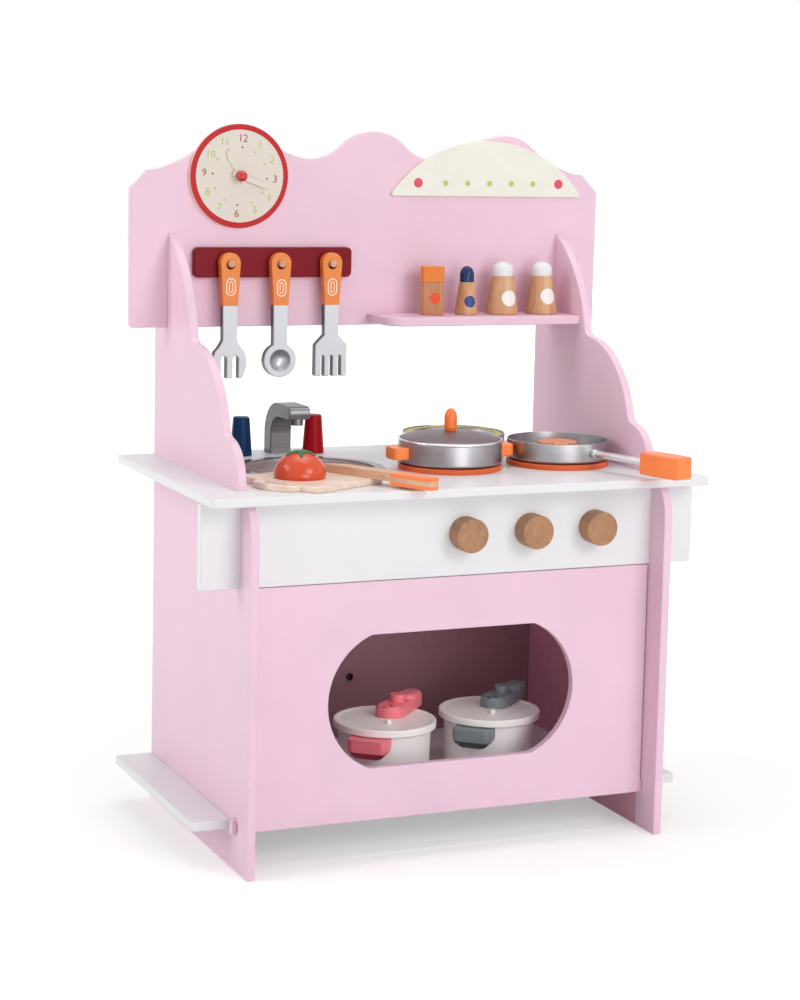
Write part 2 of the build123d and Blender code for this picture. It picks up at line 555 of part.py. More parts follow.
# Chopping board, with a hanging lobe on its left edge.
W, D = CHOP_W, CHOP_D
lobe = Ellipse(20, 32)
chop = Pos(W / 2, D / 2) * RectangleRounded(W, D, 14) + Pos(0, D / 2) * lobe
chop -= Pos(-4, D / 2) * Rot(0, 0, 90) * SlotOverall(40, 7)
chop = eased(extrude(chop, amount=CHOP_THICK), Axis.Z, 1.0)
parts["chopping_board"] = Pos(CHOP_X, CHOP_Y, TOP) * Rot(0, 0, CHOP_TURN) * chop

# Half tomato with a five-pointed calyx on top.
R, H = TOMATO_R, TOMATO_TALL
half_ball = Line((0, 0), (R - 1.0, 0)) + Line((R - 1.0, 0), (R, 3.0)) + crown(R, 3.0, H)
half_ball += Line((0, H), (0, 0))
half_ball = revolve(Plane.XZ * make_face(half_ball), Axis.Z)
parts["tomato"] = Pos(TOMATO_X, TOMATO_Y, CHOP_TOP) * half_ball
leaf = RegularPolygon(4.0, 5)
for turn in range(5):
    point = make_face(Polyline((0, -6.5), (17.0, -0.8), (17.0, 0.8), (0, 6.5), close=True))
    leaf += Rot(0, 0, 72 * turn + LEAF_TURN) * point
calyx = extrude(Plane.XY.offset(H * 0.4) * leaf, amount=H)
calyx = calyx & (Pos(0, 0, 0) * scale(half_ball, 1.045)) - half_ball
parts["tomato_calyx"] = Pos(TOMATO_X, TOMATO_Y, CHOP_TOP) * calyx

# Knife: blade and tang are one board, with a painted cheek above and below the tang.
knife_place = Pos(KNIFE_X, KNIFE_Y, CHOP_TOP) * Rot(0, 0, KNIFE_TURN)
blade = Line((0, -9.5), (60, -9.5))
blade += ThreePointArc((60, -9.5), (86, -3.0), (98, 9.5))
blade += Line((98, 9.5), (0, 9.5))
blade += Line((0, 9.5), (0, -9.5))
tang = Polyline((-57, -8), (0, -9.5), (0, 9.5), (-57, 8), close=True)
tang = make_face(tang)
tang = fillet(tang.vertices().group_by(Axis.X)[0], 5.0)
steel = extrude(make_face(blade), amount=9)
core = extrude(tang, amount=5)
parts["knife_blade"] = knife_place * (steel + core)
lower = extrude(Plane.XY.offset(-4) * tang, amount=4)
upper = extrude(Plane.XY.offset(5) * tang, amount=4)
parts["knife_cheeks"] = Compound(children=[knife_place * lower, knife_place * upper])

# Pressure cookers: a shell with a front grip, and a flat lid whose lever runs out over the
# rim on the far side. The lid stands a few degrees round from the line of the grip.
FLOOR = SHELF_Z + BOARD
B, R, Z1 = COOKER_BODY_R, COOKER_R, COOKER_RIM_Z - 8
for name, x, y, turn in zip(("pink", "grey"), COOKER_X, COOKER_Y, COOKER_TURN):
    place = Pos(x, y, 0) * Rot(0, 0, turn)
    lid_place = place * Rot(0, 0, LEVER_TURN)
    body = [(0, FLOOR), (B - 6, FLOOR), (B - 2, FLOOR + 4), (B, Z1), (B - T, Z1)]
    body += [(B - T - 2, FLOOR + 4.5), (B - 7, FLOOR + T), (0, FLOOR + T)]
    shell = turned(body, 0, 0)
    cover = [(0, Z1 + 5.5), (0, Z1 + 8.5), (R - 8, Z1 + 7.5), (R - 4, Z1 + 8.5), (R - 1, Z1 + 8.5)]
    cover += [(R, Z1 + 7.5), (R, Z1 + 1), (R - 1, Z1), (B - T - 1, Z1), (B - T - 1, Z1 - 3)]
    cover += [(B - T - 3, Z1 - 3), (B - T - 3, Z1 + 3)]
    lid = turned(cover, 0, 0) + Pos(-18, -13.5, 0) * post(0, 0, 3.2, Z1 + 7, Z1 + 13)
    parts[f"{name}_cooker_lid"] = lid_place * lid
    parts[f"{name}_cooker_body"] = place * shell
    base = Z1 + 8.5
    plan = make_hull((Pos(14, 0) * Circle(17) + Pos(72, 0) * Circle(12)).edges())
    lever = extrude(Plane.XY.offset(base) * plan, amount=13)
    lever = chamfer(lever.edges().group_by(Axis.Z)[-1], 3.0)
    lever -= post(6, 0, 7.0, base + 10, base + 20)
    lever += post(6, 0, 3.6, base + 8, base + 13)
    lever += post(33, 0, 8.5, base + 12, base + 22)
    knob = make_hull((Pos(58, 0) * Circle(13) + Pos(73, 0) * Circle(12)).edges())
    knob = extrude(Plane.XY.offset(base + 1) * knob, amount=17)
    lever += fillet(knob.edges().group_by(Axis.Z)[-1], 6.5)
    parts[f"{name}_cooker_lever"] = lid_place * lever
    shape = block(-R - 14, -B + 5, -23, 23, 93, Z1 - 1)
    corners = shape.edges().filter_by(Axis.X).group_by(Axis.Z)[0]
    grip = fillet(corners, 14.0)
    grip = fillet(grip.edges().filter_by(Axis.Z).group_by(Axis.X)[0], 7.0)
    grip -= block(-R - 20, -R - 6, -19, 19, 80, 101)
    parts[f"{name}_cooker_grip"] = place * (grip - post(0, 0, B, FLOOR, Z1))

# Hidden fixings: plastic corner brackets inside, pan-head screws behind the backboard.
brackets = []
for side in (-1, 1):
    for z in (215.0, 340.0):
        x_in, x_far = side * SIDE_IN, side * (SIDE_IN - 22)
        angle = block(x_in, x_far, -BOARD, -BOARD - 22, z, z + 20)
        angle -= block(side * (SIDE_IN - 3), side * (SIDE_IN - 30), -BOARD - 3, -60, z - 1, z + 21)
        brackets.append(angle)
parts["corner_brackets"] = Compound(children=brackets)

SCREW_R, HEAD_R = 1.75, 3.6
SCREWS = [("spice_shelf", x, SPICE_Z + BOARD / 2, 24.0) for x in (20.0, 200.0)]
SCREWS += [("utensil_rack", x, 646.5, 6.0) for x in (-210.0, -90.0)]
SCREWS += [("clock_disc", CLOCK_X + dx, CLOCK_Z - 20, 4.5) for dx in (-22.0, 22.0)]
SCREWS += [("display_panel", PLAQUE_X + dx, PLAQUE_Z + 20, 2.8) for dx in (-80.0, 80.0)]
screws = []
for name, x, z, bite in SCREWS:
    shank = rod(x, z, SCREW_R, BACKBOARD_Y, WALL_Y - bite)
    parts["backboard"] -= shank
    parts[name] -= shank
    head = rod(x, z, HEAD_R, BACKBOARD_Y + 2, BACKBOARD_Y)
    screws.append(shank + head)
parts["backboard_screws"] = Compound(children=screws)

# The origin goes to the middle of the footprint, on the floor.
whole = Compound(children=[Compound(children=list(p.solids())) for p in parts.values()])
box = whole.bounding_box()
shift = Pos(-(box.min.X + box.max.X) / 2, -(box.min.Y + box.max.Y) / 2, -box.min.Z)
for name, solid in parts.items():
    export_step(shift * solid, f"parts/{name}.step")
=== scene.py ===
import math

import bmesh
import bpy
from mathutils import Matrix, Vector
from mathutils.bvhtree import BVHTree


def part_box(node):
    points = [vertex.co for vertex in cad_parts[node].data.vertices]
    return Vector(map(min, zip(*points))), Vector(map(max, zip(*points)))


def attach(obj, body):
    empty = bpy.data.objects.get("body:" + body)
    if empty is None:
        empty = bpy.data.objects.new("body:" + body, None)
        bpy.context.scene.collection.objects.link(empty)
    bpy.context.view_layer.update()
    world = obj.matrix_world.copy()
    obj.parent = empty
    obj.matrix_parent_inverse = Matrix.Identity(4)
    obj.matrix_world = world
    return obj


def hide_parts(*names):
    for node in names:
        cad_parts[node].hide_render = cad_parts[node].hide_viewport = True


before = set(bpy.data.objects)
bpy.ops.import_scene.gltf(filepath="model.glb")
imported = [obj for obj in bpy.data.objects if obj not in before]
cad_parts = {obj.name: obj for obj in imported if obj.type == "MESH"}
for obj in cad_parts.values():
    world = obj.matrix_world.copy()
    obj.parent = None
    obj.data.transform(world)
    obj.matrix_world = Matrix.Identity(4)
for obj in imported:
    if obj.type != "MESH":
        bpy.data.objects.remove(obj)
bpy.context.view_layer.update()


# Side boards: the two tall boards that carry everything, sawn from 10 mm fibreboard,
# sprayed satin pink, with edges painted a little paler, partly as wear and partly as a painted
# highlight.
PINK = "#EBC8DA"


def shade(code):
    """The linear colour of a paint chip written as #RRGGBB."""
    parts = [int(code[i:i + 2], 16) / 255 for i in (1, 3, 5)]
    linear = [p / 12.92 if p <= 0.04045 else ((p + 0.055) / 1.055) ** 2.4 for p in parts]
    return (*linear, 1.0)


def put(tree, kind, **values):
    """Adds a node. A capitalised name sets a socket, any other name sets the node itself."""
    node = tree.nodes.new(kind)
    for name, value in values.items():
        if name[0].isupper():
            node.inputs[name.replace("_", " ")].default_value = value
        else:
            setattr(node, name, value)
    return node


def join(tree, source, output, target, socket):
    tree.links.new(source.outputs[output], target.inputs[socket])


def ramp(tree, source, output, stops):
    """A colour ramp with its own stops, each a place and a linear colour."""
    node = put(tree, "ShaderNodeValToRGB")
    while len(node.color_ramp.elements) < len(stops):
        node.color_ramp.elements.new(0.5)
    for element, (place, colour) in zip(node.color_ramp.elements, stops):
        element.position = place
        element.color = colour
    join(tree, source, output, node, "Fac")
    return node


def grey(value):
    return (value, value, value, 1.0)


def begin_finish(name):
    """An empty material with its tree, its shader and the piece's own coordinates."""
    finish = bpy.data.materials.new(name)
    finish.use_nodes = True
    tree = finish.node_tree
    return finish, tree, tree.nodes["Principled BSDF"], put(tree, "ShaderNodeTexCoord")


def toned(base, factor):
    """The same colour, darker or paler by a factor, but never past white."""
    return tuple(min(c * factor, 1.0) for c in base[:3]) + (1.0,)


def noise(tree, source, output, **values):
    node = put(tree, "ShaderNodeTexNoise", **values)
    join(tree, source, output, node, "Vector")
    return node


def split_up(tree, source, output):
    """The three numbers of a place or of a direction."""
    node = put(tree, "ShaderNodeSeparateXYZ")
    join(tree, source, output, node, "Vector")
    return node


def reckon(tree, operation, source, output, second=None):
    """A sum on one number. The second number is given here or joined later."""
    node = put(tree, "ShaderNodeMath", operation=operation)
    join(tree, source, output, node, 0)
    if second is not None:
        node.inputs[1].default_value = second
    return node


def blend(tree, share, under, over):
    """Mixes two colours by a share from 0 to 1. Each is a node or a plain colour."""
    mix = put(tree, "ShaderNodeMixRGB")
    join(tree, share, 0, mix, "Fac")
    for colour, socket in ((under, "Color1"), (over, "Color2")):
        if isinstance(colour, tuple):
            mix.inputs[socket].default_value = colour
        else:
            join(tree, colour, "Color", mix, socket)
    return mix


def glossed(tree, skin, pattern, low, high):
    """Lets the shine follow a noise, between two roughnesses."""
    gloss = ramp(tree, pattern, "Fac", [(0.3, grey(low)), (0.7, grey(high))])
    join(tree, gloss, "Color", skin, "Roughness")


def embossed(tree, skin, pattern, strength, depth, bevel=None):
    """Fine relief from a noise, laid over the rounded edges where there are some."""
    relief = put(tree, "ShaderNodeBump", Strength=strength, Distance=depth)
    join(tree, pattern, "Fac", relief, "Height")
    if bevel:
        join(tree, bevel, "Normal", relief, "Normal")
    join(tree, relief, "Normal", skin, "Normal")


def rubbed_edge(tree, skin, colour, edge_colour, radius, strength):
    """Rounds the sharp edges in the light and paints them paler, as wear and as a painted highlight.
    """
    bevel = put(tree, "ShaderNodeBevel", samples=4, Radius=radius)
    flat = put(tree, "ShaderNodeNewGeometry")
    facing = put(tree, "ShaderNodeVectorMath", operation="DOT_PRODUCT")
    join(tree, bevel, "Normal", facing, 0)
    join(tree, flat, "Normal", facing, 1)
    # The paler edge colour is partly wear and partly a painted highlight.
    paling = ramp(tree, facing, "Value", [(0.72, grey(strength)), (0.985, grey(0.0))])
    join(tree, blend(tree, paling, colour, shade(edge_colour)), "Color", skin, "Base Color")
    return bevel


def sprayed(name, code, edge="#FFFFFF", rough=0.40, edge_lightening=0.35, peel=0.10, cloud=0.035, sheen=0.4):
    """Spray paint on board: soft clouds, fine orange peel, edges painted paler as wear and highlight.
    """
    finish, tree, skin, place = begin_finish(name)
    clouds = noise(tree, place, "Object", Scale=9.0, Detail=3.0, Roughness=0.55)
    base = shade(code)
    colour = ramp(tree, clouds, "Fac",
                  [(0.32, toned(base, 1 - cloud)), (0.68, toned(base, 1 + cloud))])
    bevel = rubbed_edge(tree, skin, colour, edge, 0.0012, edge_lightening)
    droplets = noise(tree, place, "Object", Scale=420.0, Detail=2.0)
    embossed(tree, skin, droplets, peel, 0.0006, bevel)
    glossed(tree, skin, clouds, rough - 0.05, rough + 0.06)
    skin.inputs["Specular IOR Level"].default_value = sheen
    return finish


def dress(finish, *nodes):
    """Gives CAD nodes whose shape is right their finish."""
    for name in nodes:
        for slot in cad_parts[name].material_slots:
            slot.material = finish


def second_coat(finish, code, *tests):
    """Another tone where every test holds, mostly a painted shade: each is an axis, LESS_THAN or
    GREATER_THAN and a place in metres. X counts from the middle of the kitchen to either side."""
    tree = finish.node_tree
    skin = tree.nodes["Principled BSDF"]
    outer = skin.inputs["Base Color"].links[0].from_node
    place = put(tree, "ShaderNodeTexCoord")
    split = split_up(tree, place, "Object")
    width = reckon(tree, "ABSOLUTE", split, "X")
    mask = put(tree, "ShaderNodeValue")
    mask.outputs[0].default_value = 1.0
    for axis, kind, limit in tests:
        source, output = (width, "Value") if axis == "X" else (split, axis)
        test = reckon(tree, kind, source, output, limit)
        both = reckon(tree, "MULTIPLY", mask, "Value")
        join(tree, test, "Value", both, 1)
        mask = both
    mottle = noise(tree, place, "Object", Scale=160.0, Detail=4.0, Roughness=0.65)
    base = shade(code)
    other_tone = ramp(tree, mottle, "Fac", [(0.3, toned(base, 0.88)), (0.7, base)])
    join(tree, blend(tree, mask, outer, other_tone), "Color", skin, "Base Color")
    return finish


# Inside the oven the boards are painted a darker, dustier pink as painted shade. The walls of
# the hole in the back board, and all faces inside its thickness, are painted dark brown as
# painted shade.
SKIN = 0.0005
OVEN_HALF = 0.2475
back_inner, back_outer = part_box("lower_back_board")[0][1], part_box("lower_back_board")[1][1]
INSIDE = (("X", "LESS_THAN", OVEN_HALF), ("Z", "LESS_THAN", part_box("worktop")[0][2]),
          ("Y", "GREATER_THAN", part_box("oven_door")[1][1]), ("Y", "LESS_THAN", back_inner + SKIN))
IN_THE_BOARD = (("Y", "GREATER_THAN", back_inner + SKIN), ("Y", "LESS_THAN", back_outer - SKIN))
pink_paint = sprayed("pink_paint", PINK)
# Painted shade inside the oven: #E09CB4 on the side boards, #9E757E and #3A292C on the back board.
side_paint = second_coat(sprayed("side_paint", PINK), "#E09CB4", *INSIDE)
back_paint = second_coat(sprayed("back_paint", PINK), "#9E757E", *INSIDE)
second_coat(back_paint, "#3A292C", *IN_THE_BOARD)
dress(side_paint, "left_side_board", "right_side_board")
dress(back_paint, "lower_back_board", "door_stop")


# Bottom shelf, worktop and control apron: the same board sprayed white, pushed into
# slots of the side boards, so only their ends and front edges catch the light.
white_paint = sprayed("white_paint", "#E6E6E8", rough=0.34, edge_lightening=0.5, cloud=0.012)
dress(white_paint, "bottom_shelf", "worktop", "control_apron")


# Oven door: one pink board with a long oval window sawn out of it. It turns on two tabs of
# its own in holes of the side boards, and the edges of the window are painted a shade paler, as wear
# and as a painted highlight.
dress(pink_paint, "oven_door")


# Backboard and spice shelf: pink board, sawn to a cloud-shaped top and a round-ended shelf.
# The shelf is screwed on from behind.
dress(pink_paint, "backboard", "spice_shelf")


# Screws and corner brackets, on the hidden side: zinc-plated pan-head screws with a cross
# recess, turned in from behind the backboard, and four moulded corner brackets inside.
SCREW_HEAD_R, SCREW_HEAD_H = 0.0036, 0.002
SHANK_R, SHANK_LONG = 0.0017, 0.012
SLOT_WIDE, SLOT_DEEP = 0.0007, 0.0024


def moulded(name, code, rough=0.38):
    """Moulded plastic: an even colour, a faint flow mark and a fine spark-eroded skin."""
    finish, tree, skin, place = begin_finish(name)
    flow = noise(tree, place, "Object", Scale=30.0, Detail=2.0, Distortion=1.2)
    base = shade(code)
    colour = ramp(tree, flow, "Fac", [(0.3, toned(base, 0.98)), (0.7, toned(base, 1.02))])
    join(tree, colour, "Color", skin, "Base Color")
    grain = noise(tree, place, "Object", Scale=1500.0, Detail=2.0)
    embossed(tree, skin, grain, 0.06, 0.0002)
    glossed(tree, skin, grain, rough - 0.04, rough + 0.05)
    return finish


def plated(name, code, rough=0.3, bloom_scale=260.0):
    """Zinc or nickel plate: a metal skin with a fine blotchy bloom."""
    finish, tree, skin, place = begin_finish(name)
    bloom = noise(tree, place, "Object", Scale=bloom_scale, Detail=3.0)
    base = shade(code)
    colour = ramp(tree, bloom, "Fac", [(0.3, toned(base, 0.93)), (0.7, base)])
    join(tree, colour, "Color", skin, "Base Color")
    glossed(tree, skin, bloom, rough - 0.04, rough + 0.06)
    skin.inputs["Metallic"].default_value = 1.0
    return finish


def rule_tree(name, sizes):
    """A geometry tree with named sizes. Returns the tree, its input and its output node."""
    tree = bpy.data.node_groups.new(name, "GeometryNodeTree")
    tree.interface.new_socket("Geometry", in_out="INPUT", socket_type="NodeSocketGeometry")
    tree.interface.new_socket("Geometry", in_out="OUTPUT", socket_type="NodeSocketGeometry")
    for label, (kind, value) in sizes.items():
        socket = tree.interface.new_socket(label, in_out="INPUT", socket_type=kind)
        socket.default_value = value
    return tree, put(tree, "NodeGroupInput"), put(tree, "NodeGroupOutput")


def grow(name, tree, finish, sizes, points=((0, 0, 0),)):
    """Runs a geometry tree on a few points and keeps what it makes as a plain mesh."""
    seed = bpy.data.meshes.new(name + "_points")
    seed.from_pydata([tuple(p) for p in points], [], [])
    carrier = bpy.data.objects.new(name + "_carrier", seed)
    bpy.context.scene.collection.objects.link(carrier)
    modifier = carrier.modifiers.new("rule", "NODES")
    modifier.node_group = tree
    for item in tree.interface.items_tree:
        if item.item_type == "SOCKET" and item.in_out == "INPUT" and item.name in sizes:
            modifier[item.identifier] = sizes[item.name]
    ready = carrier.evaluated_get(bpy.context.evaluated_depsgraph_get())
    mesh = bpy.data.meshes.new_from_object(ready)
    carrier.modifiers.clear()
    bpy.data.objects.remove(carrier)
    mesh.name = name
    if not mesh.materials:
        mesh.materials.append(finish)
    made = bpy.data.objects.new(name, mesh)
    bpy.context.scene.collection.objects.link(made)
    return made


def sealed(tree, source, output, out, finish=None):
    """Makes the copies of a rule real and gives them their material, the rule's last steps."""
    real = put(tree, "GeometryNodeRealizeInstances")
    join(tree, source, output, real, "Geometry")
    coat = put(tree, "GeometryNodeSetMaterial")
    coat.inputs["Material"].default_value = finish
    join(tree, real, "Geometry", coat, "Geometry")
    join(tree, coat, "Geometry", out, "Geometry")
    return coat


def heads_of(node):
    """Middles, in X and Z, of the separate screws in a CAD node."""
    work = bmesh.new()
    work.from_mesh(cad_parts[node].data)
    bmesh.ops.remove_doubles(work, verts=work.verts, dist=1e-6)
    seen, middles = set(), []
    for vert in work.verts:
        if vert in seen:
            continue
        group, todo = [], [vert]
        seen.add(vert)
        while todo:
            now = todo.pop()
            group.append(now.co.copy())
            for edge in now.link_edges:
                other = edge.other_vert(now)
                if other not in seen:
                    seen.add(other)
                    todo.append(other)
        middles.append([(min(p[i] for p in group) + max(p[i] for p in group)) / 2 for i in (0, 2)])
    work.free()
    return middles


zinc = plated("zinc_plate", "#C2C4C7")
bracket_plastic = moulded("bracket_plastic", "#EDEDEC")
dress(bracket_plastic, "corner_brackets")

screw_tree, screw_in, screw_out = rule_tree("pan_head_screw", {
    "Head radius": ("NodeSocketFloat", SCREW_HEAD_R),
    "Head height": ("NodeSocketFloat", SCREW_HEAD_H),
    "Shank radius": ("NodeSocketFloat", SHANK_R),
    "Shank length": ("NodeSocketFloat", SHANK_LONG),
})
head_turn = put(screw_tree, "GeometryNodeMeshCone", Vertices=28)
join(screw_tree, screw_in, "Head radius", head_turn, "Radius Bottom")
crown_r = reckon(screw_tree, "MULTIPLY", screw_in, "Head radius", 0.72)
join(screw_tree, crown_r, "Value", head_turn, "Radius Top")
join(screw_tree, screw_in, "Head height", head_turn, "Depth")
slot_size = put(screw_tree, "ShaderNodeCombineXYZ", Y=SLOT_WIDE, Z=SLOT_DEEP)
slot_long = reckon(screw_tree, "MULTIPLY", screw_in, "Head radius", 1.1)
join(screw_tree, slot_long, "Value", slot_size, "X")
slot_cut = put(screw_tree, "GeometryNodeMeshCube")
join(screw_tree, slot_size, "Vector", slot_cut, "Size")
slot_lift = put(screw_tree, "GeometryNodeTransform")
lift = put(screw_tree, "ShaderNodeCombineXYZ")
join(screw_tree, screw_in, "Head height", lift, "Z")
join(screw_tree, slot_cut, "Mesh", slot_lift, "Geometry")
join(screw_tree, lift, "Vector", slot_lift, "Translation")
slot_cross = put(screw_tree, "GeometryNodeTransform", Rotation=(0, 0, math.pi / 2))
join(screw_tree, slot_lift, "Geometry", slot_cross, "Geometry")
recess = put(screw_tree, "GeometryNodeMeshBoolean", operation="DIFFERENCE")
join(screw_tree, head_turn, "Mesh", recess, "Mesh 1")
join(screw_tree, slot_lift, "Geometry", recess, "Mesh 2")
join(screw_tree, slot_cross, "Geometry", recess, "Mesh 2")
shank = put(screw_tree, "GeometryNodeMeshCylinder", Vertices=16)
join(screw_tree, screw_in, "Shank radius", shank, "Radius")
join(screw_tree, screw_in, "Shank length", shank, "Depth")
shank_drop = reckon(screw_tree, "MULTIPLY", screw_in, "Shank length", -0.5)
shank_at = put(screw_tree, "ShaderNodeCombineXYZ")
join(screw_tree, shank_drop, "Value", shank_at, "Z")
shank_low = put(screw_tree, "GeometryNodeTransform")
join(screw_tree, shank, "Mesh", shank_low, "Geometry")
join(screw_tree, shank_at, "Vector", shank_low, "Translation")
whole_screw = put(screw_tree, "GeometryNodeJoinGeometry")
join(screw_tree, recess, "Mesh", whole_screw, "Geometry")
join(screw_tree, shank_low, "Geometry", whole_screw, "Geometry")
set_screws = put(screw_tree, "GeometryNodeInstanceOnPoints", Rotation=(-math.pi / 2, 0, 0))
join(screw_tree, screw_in, "Geometry", set_screws, "Points")
join(screw_tree, whole_screw, "Geometry", set_screws, "Instance")
sealed(screw_tree, set_screws, "Instances", screw_out, zinc)

screw_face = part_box("backboard")[1][1]
places = [(x, screw_face, z) for x, z in heads_of("backboard_screws")]
rear_screws = grow("rear_screws", screw_tree, zinc, {"Shank length": SHANK_LONG}, places)
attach(rear_screws, "cabinet")
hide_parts("backboard_screws")


# Sink: a spun steel dish let in flush with the worktop. Its flat rim is a darker band, and
# the wall and the floor below it show fine rings from the turning.
def spun_steel(name, code, middle, rough, metallic=1.0):
    """Steel brushed while it turned about an upright axis: fine rings on the flats, fine level
    lines on the walls."""
    finish, tree, skin, place = begin_finish(name)
    centre = put(tree, "ShaderNodeMapping", Location=(-middle[0], -middle[1], 0.0))
    join(tree, place, "Object", centre, "Vector")
    level = put(tree, "ShaderNodeVectorMath", operation="MULTIPLY")
    level.inputs[1].default_value = (1.0, 1.0, 0.0)
    join(tree, centre, "Vector", level, 0)
    radius = put(tree, "ShaderNodeVectorMath", operation="LENGTH")
    join(tree, level, "Vector", radius, 0)
    section = put(tree, "ShaderNodeCombineXYZ")
    join(tree, radius, "Value", section, "X")
    join(tree, split_up(tree, centre, "Vector"), "Z", section, "Z")
    marks = noise(tree, section, "Vector", Scale=620.0, Detail=3.0, Roughness=0.7)
    base = shade(code)
    colour = ramp(tree, marks, "Fac", [(0.35, toned(base, 0.90)), (0.65, base)])
    join(tree, colour, "Color", skin, "Base Color")
    glossed(tree, skin, marks, rough - 0.05, rough + 0.08)
    embossed(tree, skin, marks, 0.04, 0.0002)
    skin.inputs["Metallic"].default_value = metallic
    return finish


def middle_of(node):
    low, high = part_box(node)
    return ((low[0] + high[0]) / 2, (low[1] + high[1]) / 2, (low[2] + high[2]) / 2)


def settle(name, work, finish, body):
    """Makes the worked mesh an object of its own that moves with `body`."""
    mesh = bpy.data.meshes.new(name)
    work.to_mesh(mesh)
    work.free()
    mesh.materials.append(finish)
    made = bpy.data.objects.new(name, mesh)
    bpy.context.scene.collection.objects.link(made)
    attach(made, body)
    return made


def spun(name, profile, middle, finish, body, front=False, spokes=160):
    """A piece turned from a closed profile of (radius, height, easing). Each corner is eased
    by its own amount. `front` turns it about a level axis that points to the front."""
    path, steps = [], 8
    for i, (r, h, ease) in enumerate(profile):
        corner = Vector((r, h))
        if not ease:
            path.append(corner)
            continue
        back = (Vector(profile[i - 1][:2]) - corner).normalized()
        ahead = (Vector(profile[(i + 1) % len(profile)][:2]) - corner).normalized()
        path.append(corner + back * ease * 1.3)
        for step in range(steps + 1):
            t = step / steps
            path.append(corner + back * (ease * (1 - t) ** 2) + ahead * (ease * t ** 2))
        path.append(corner + ahead * ease * 1.3)
    work = bmesh.new()
    rows = []
    for r, h in path:
        row = []
        for j in range(spokes if r > 1e-6 else 1):
            angle = 2 * math.pi * j / spokes
            a, b = r * math.cos(angle), r * math.sin(angle)
            spot = (a, -h, b) if front else (a, b, h)
            row.append(work.verts.new(Vector(middle) + Vector(spot)))
        rows.append(row)
    for a, b in zip(rows, rows[1:] + rows[:1]):
        for j in range(spokes):
            k = (j + 1) % spokes
            ring = (a[j % len(a)], a[k % len(a)], b[k % len(b)], b[j % len(b)])
            corners = list(dict.fromkeys(ring))
            if len(corners) > 2:
                work.faces.new(corners).smooth = True
    bmesh.ops.recalc_face_normals(work, faces=work.faces)
    return settle(name, work, finish, body)


def foot_of(node, height=None):
    """The middle of a turned node, at its lowest point or at a height of its own."""
    x, y, _ = middle_of(node)
    return (x, y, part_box(node)[0][2] if height is None else height)


SHEET = 0.0012
SINK_R, BOWL_R, SINK_DEEP = 0.088, 0.0800, 0.044
FLOOR_BEND, WALL_BEND, RIM_BEND = 0.020, 0.018, 0.0018
HOLLOW_R = BOWL_R - 3 * SHEET
rim_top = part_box("sink_bowl")[1][2]
sink_steel = spun_steel("sink_steel", "#DDD2D2", middle_of("sink_bowl"), 0.22, metallic=0.75)
second_coat(sink_steel, "#6E696B", ("Z", "GREATER_THAN", rim_top - SHEET))
sink = spun("sink_dish", [
    (0.0, -SINK_DEEP - SHEET, 0), (BOWL_R - SHEET, -SINK_DEEP - SHEET, FLOOR_BEND),
    (BOWL_R - SHEET, -SHEET, 0), (SINK_R, -SHEET, 0.0003), (SINK_R, 0.0, 0.0004),
    (HOLLOW_R, 0.0, RIM_BEND), (HOLLOW_R, -SINK_DEEP, WALL_BEND), (0.0, -SINK_DEEP, 0)],
    foot_of("sink_bowl", rim_top), sink_steel, "cabinet")
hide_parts("sink_bowl")


# Faucet and taps: the spout is sawn from board and sprayed a silver grey that shows fine
# cross lines on its front, its sides painted darker as painted shade; the taps are turned cones, blue
# for cold and red for hot.
def silver_sprayed(name, code, side):
    """Silver paint on sawn wood: fine level lines on the front, flanks painted darker as painted
    shade.
    """
    finish, tree, skin, place = begin_finish(name)
    squeeze = put(tree, "ShaderNodeMapping", Scale=(8.0, 8.0, 620.0))
    join(tree, place, "Object", squeeze, "Vector")
    lines = noise(tree, squeeze, "Vector", Scale=1.0, Detail=4.0, Roughness=0.65)
    base = shade(code)
    front = ramp(tree, lines, "Fac", [(0.32, toned(base, 0.84)), (0.68, base)])
    split = split_up(tree, put(tree, "ShaderNodeNewGeometry"), "Normal")
    # Faces turned to the sides get the darker colour: painted shade.
    shaded_flank = reckon(tree, "ABSOLUTE", split, "X")
    share = ramp(tree, shaded_flank, "Value", [(0.55, grey(0.0)), (0.9, grey(1.0))])
    # The pale edge colour is partly wear and partly a painted highlight.
    bevel = rubbed_edge(tree, skin, blend(tree, share, front, shade(side)), "#E4E6E8", 0.0008, 0.5)
    embossed(tree, skin, lines, 0.15, 0.0002, bevel)
    glossed(tree, skin, lines, 0.28, 0.44)
    skin.inputs["Metallic"].default_value = 0.75
    return finish


# 505154 is the painted shade on the spout's sides.
dress(silver_sprayed("faucet_silver", "#858588", "#505154"), "faucet")
dress(sprayed("tap_blue_paint", "#0A3560", rough=0.3, edge_lightening=0.1, sheen=0.15), "cold_tap")
dress(sprayed("tap_red_paint", "#A60C18", rough=0.3, edge_lightening=0.1, sheen=0.15), "hot_tap")


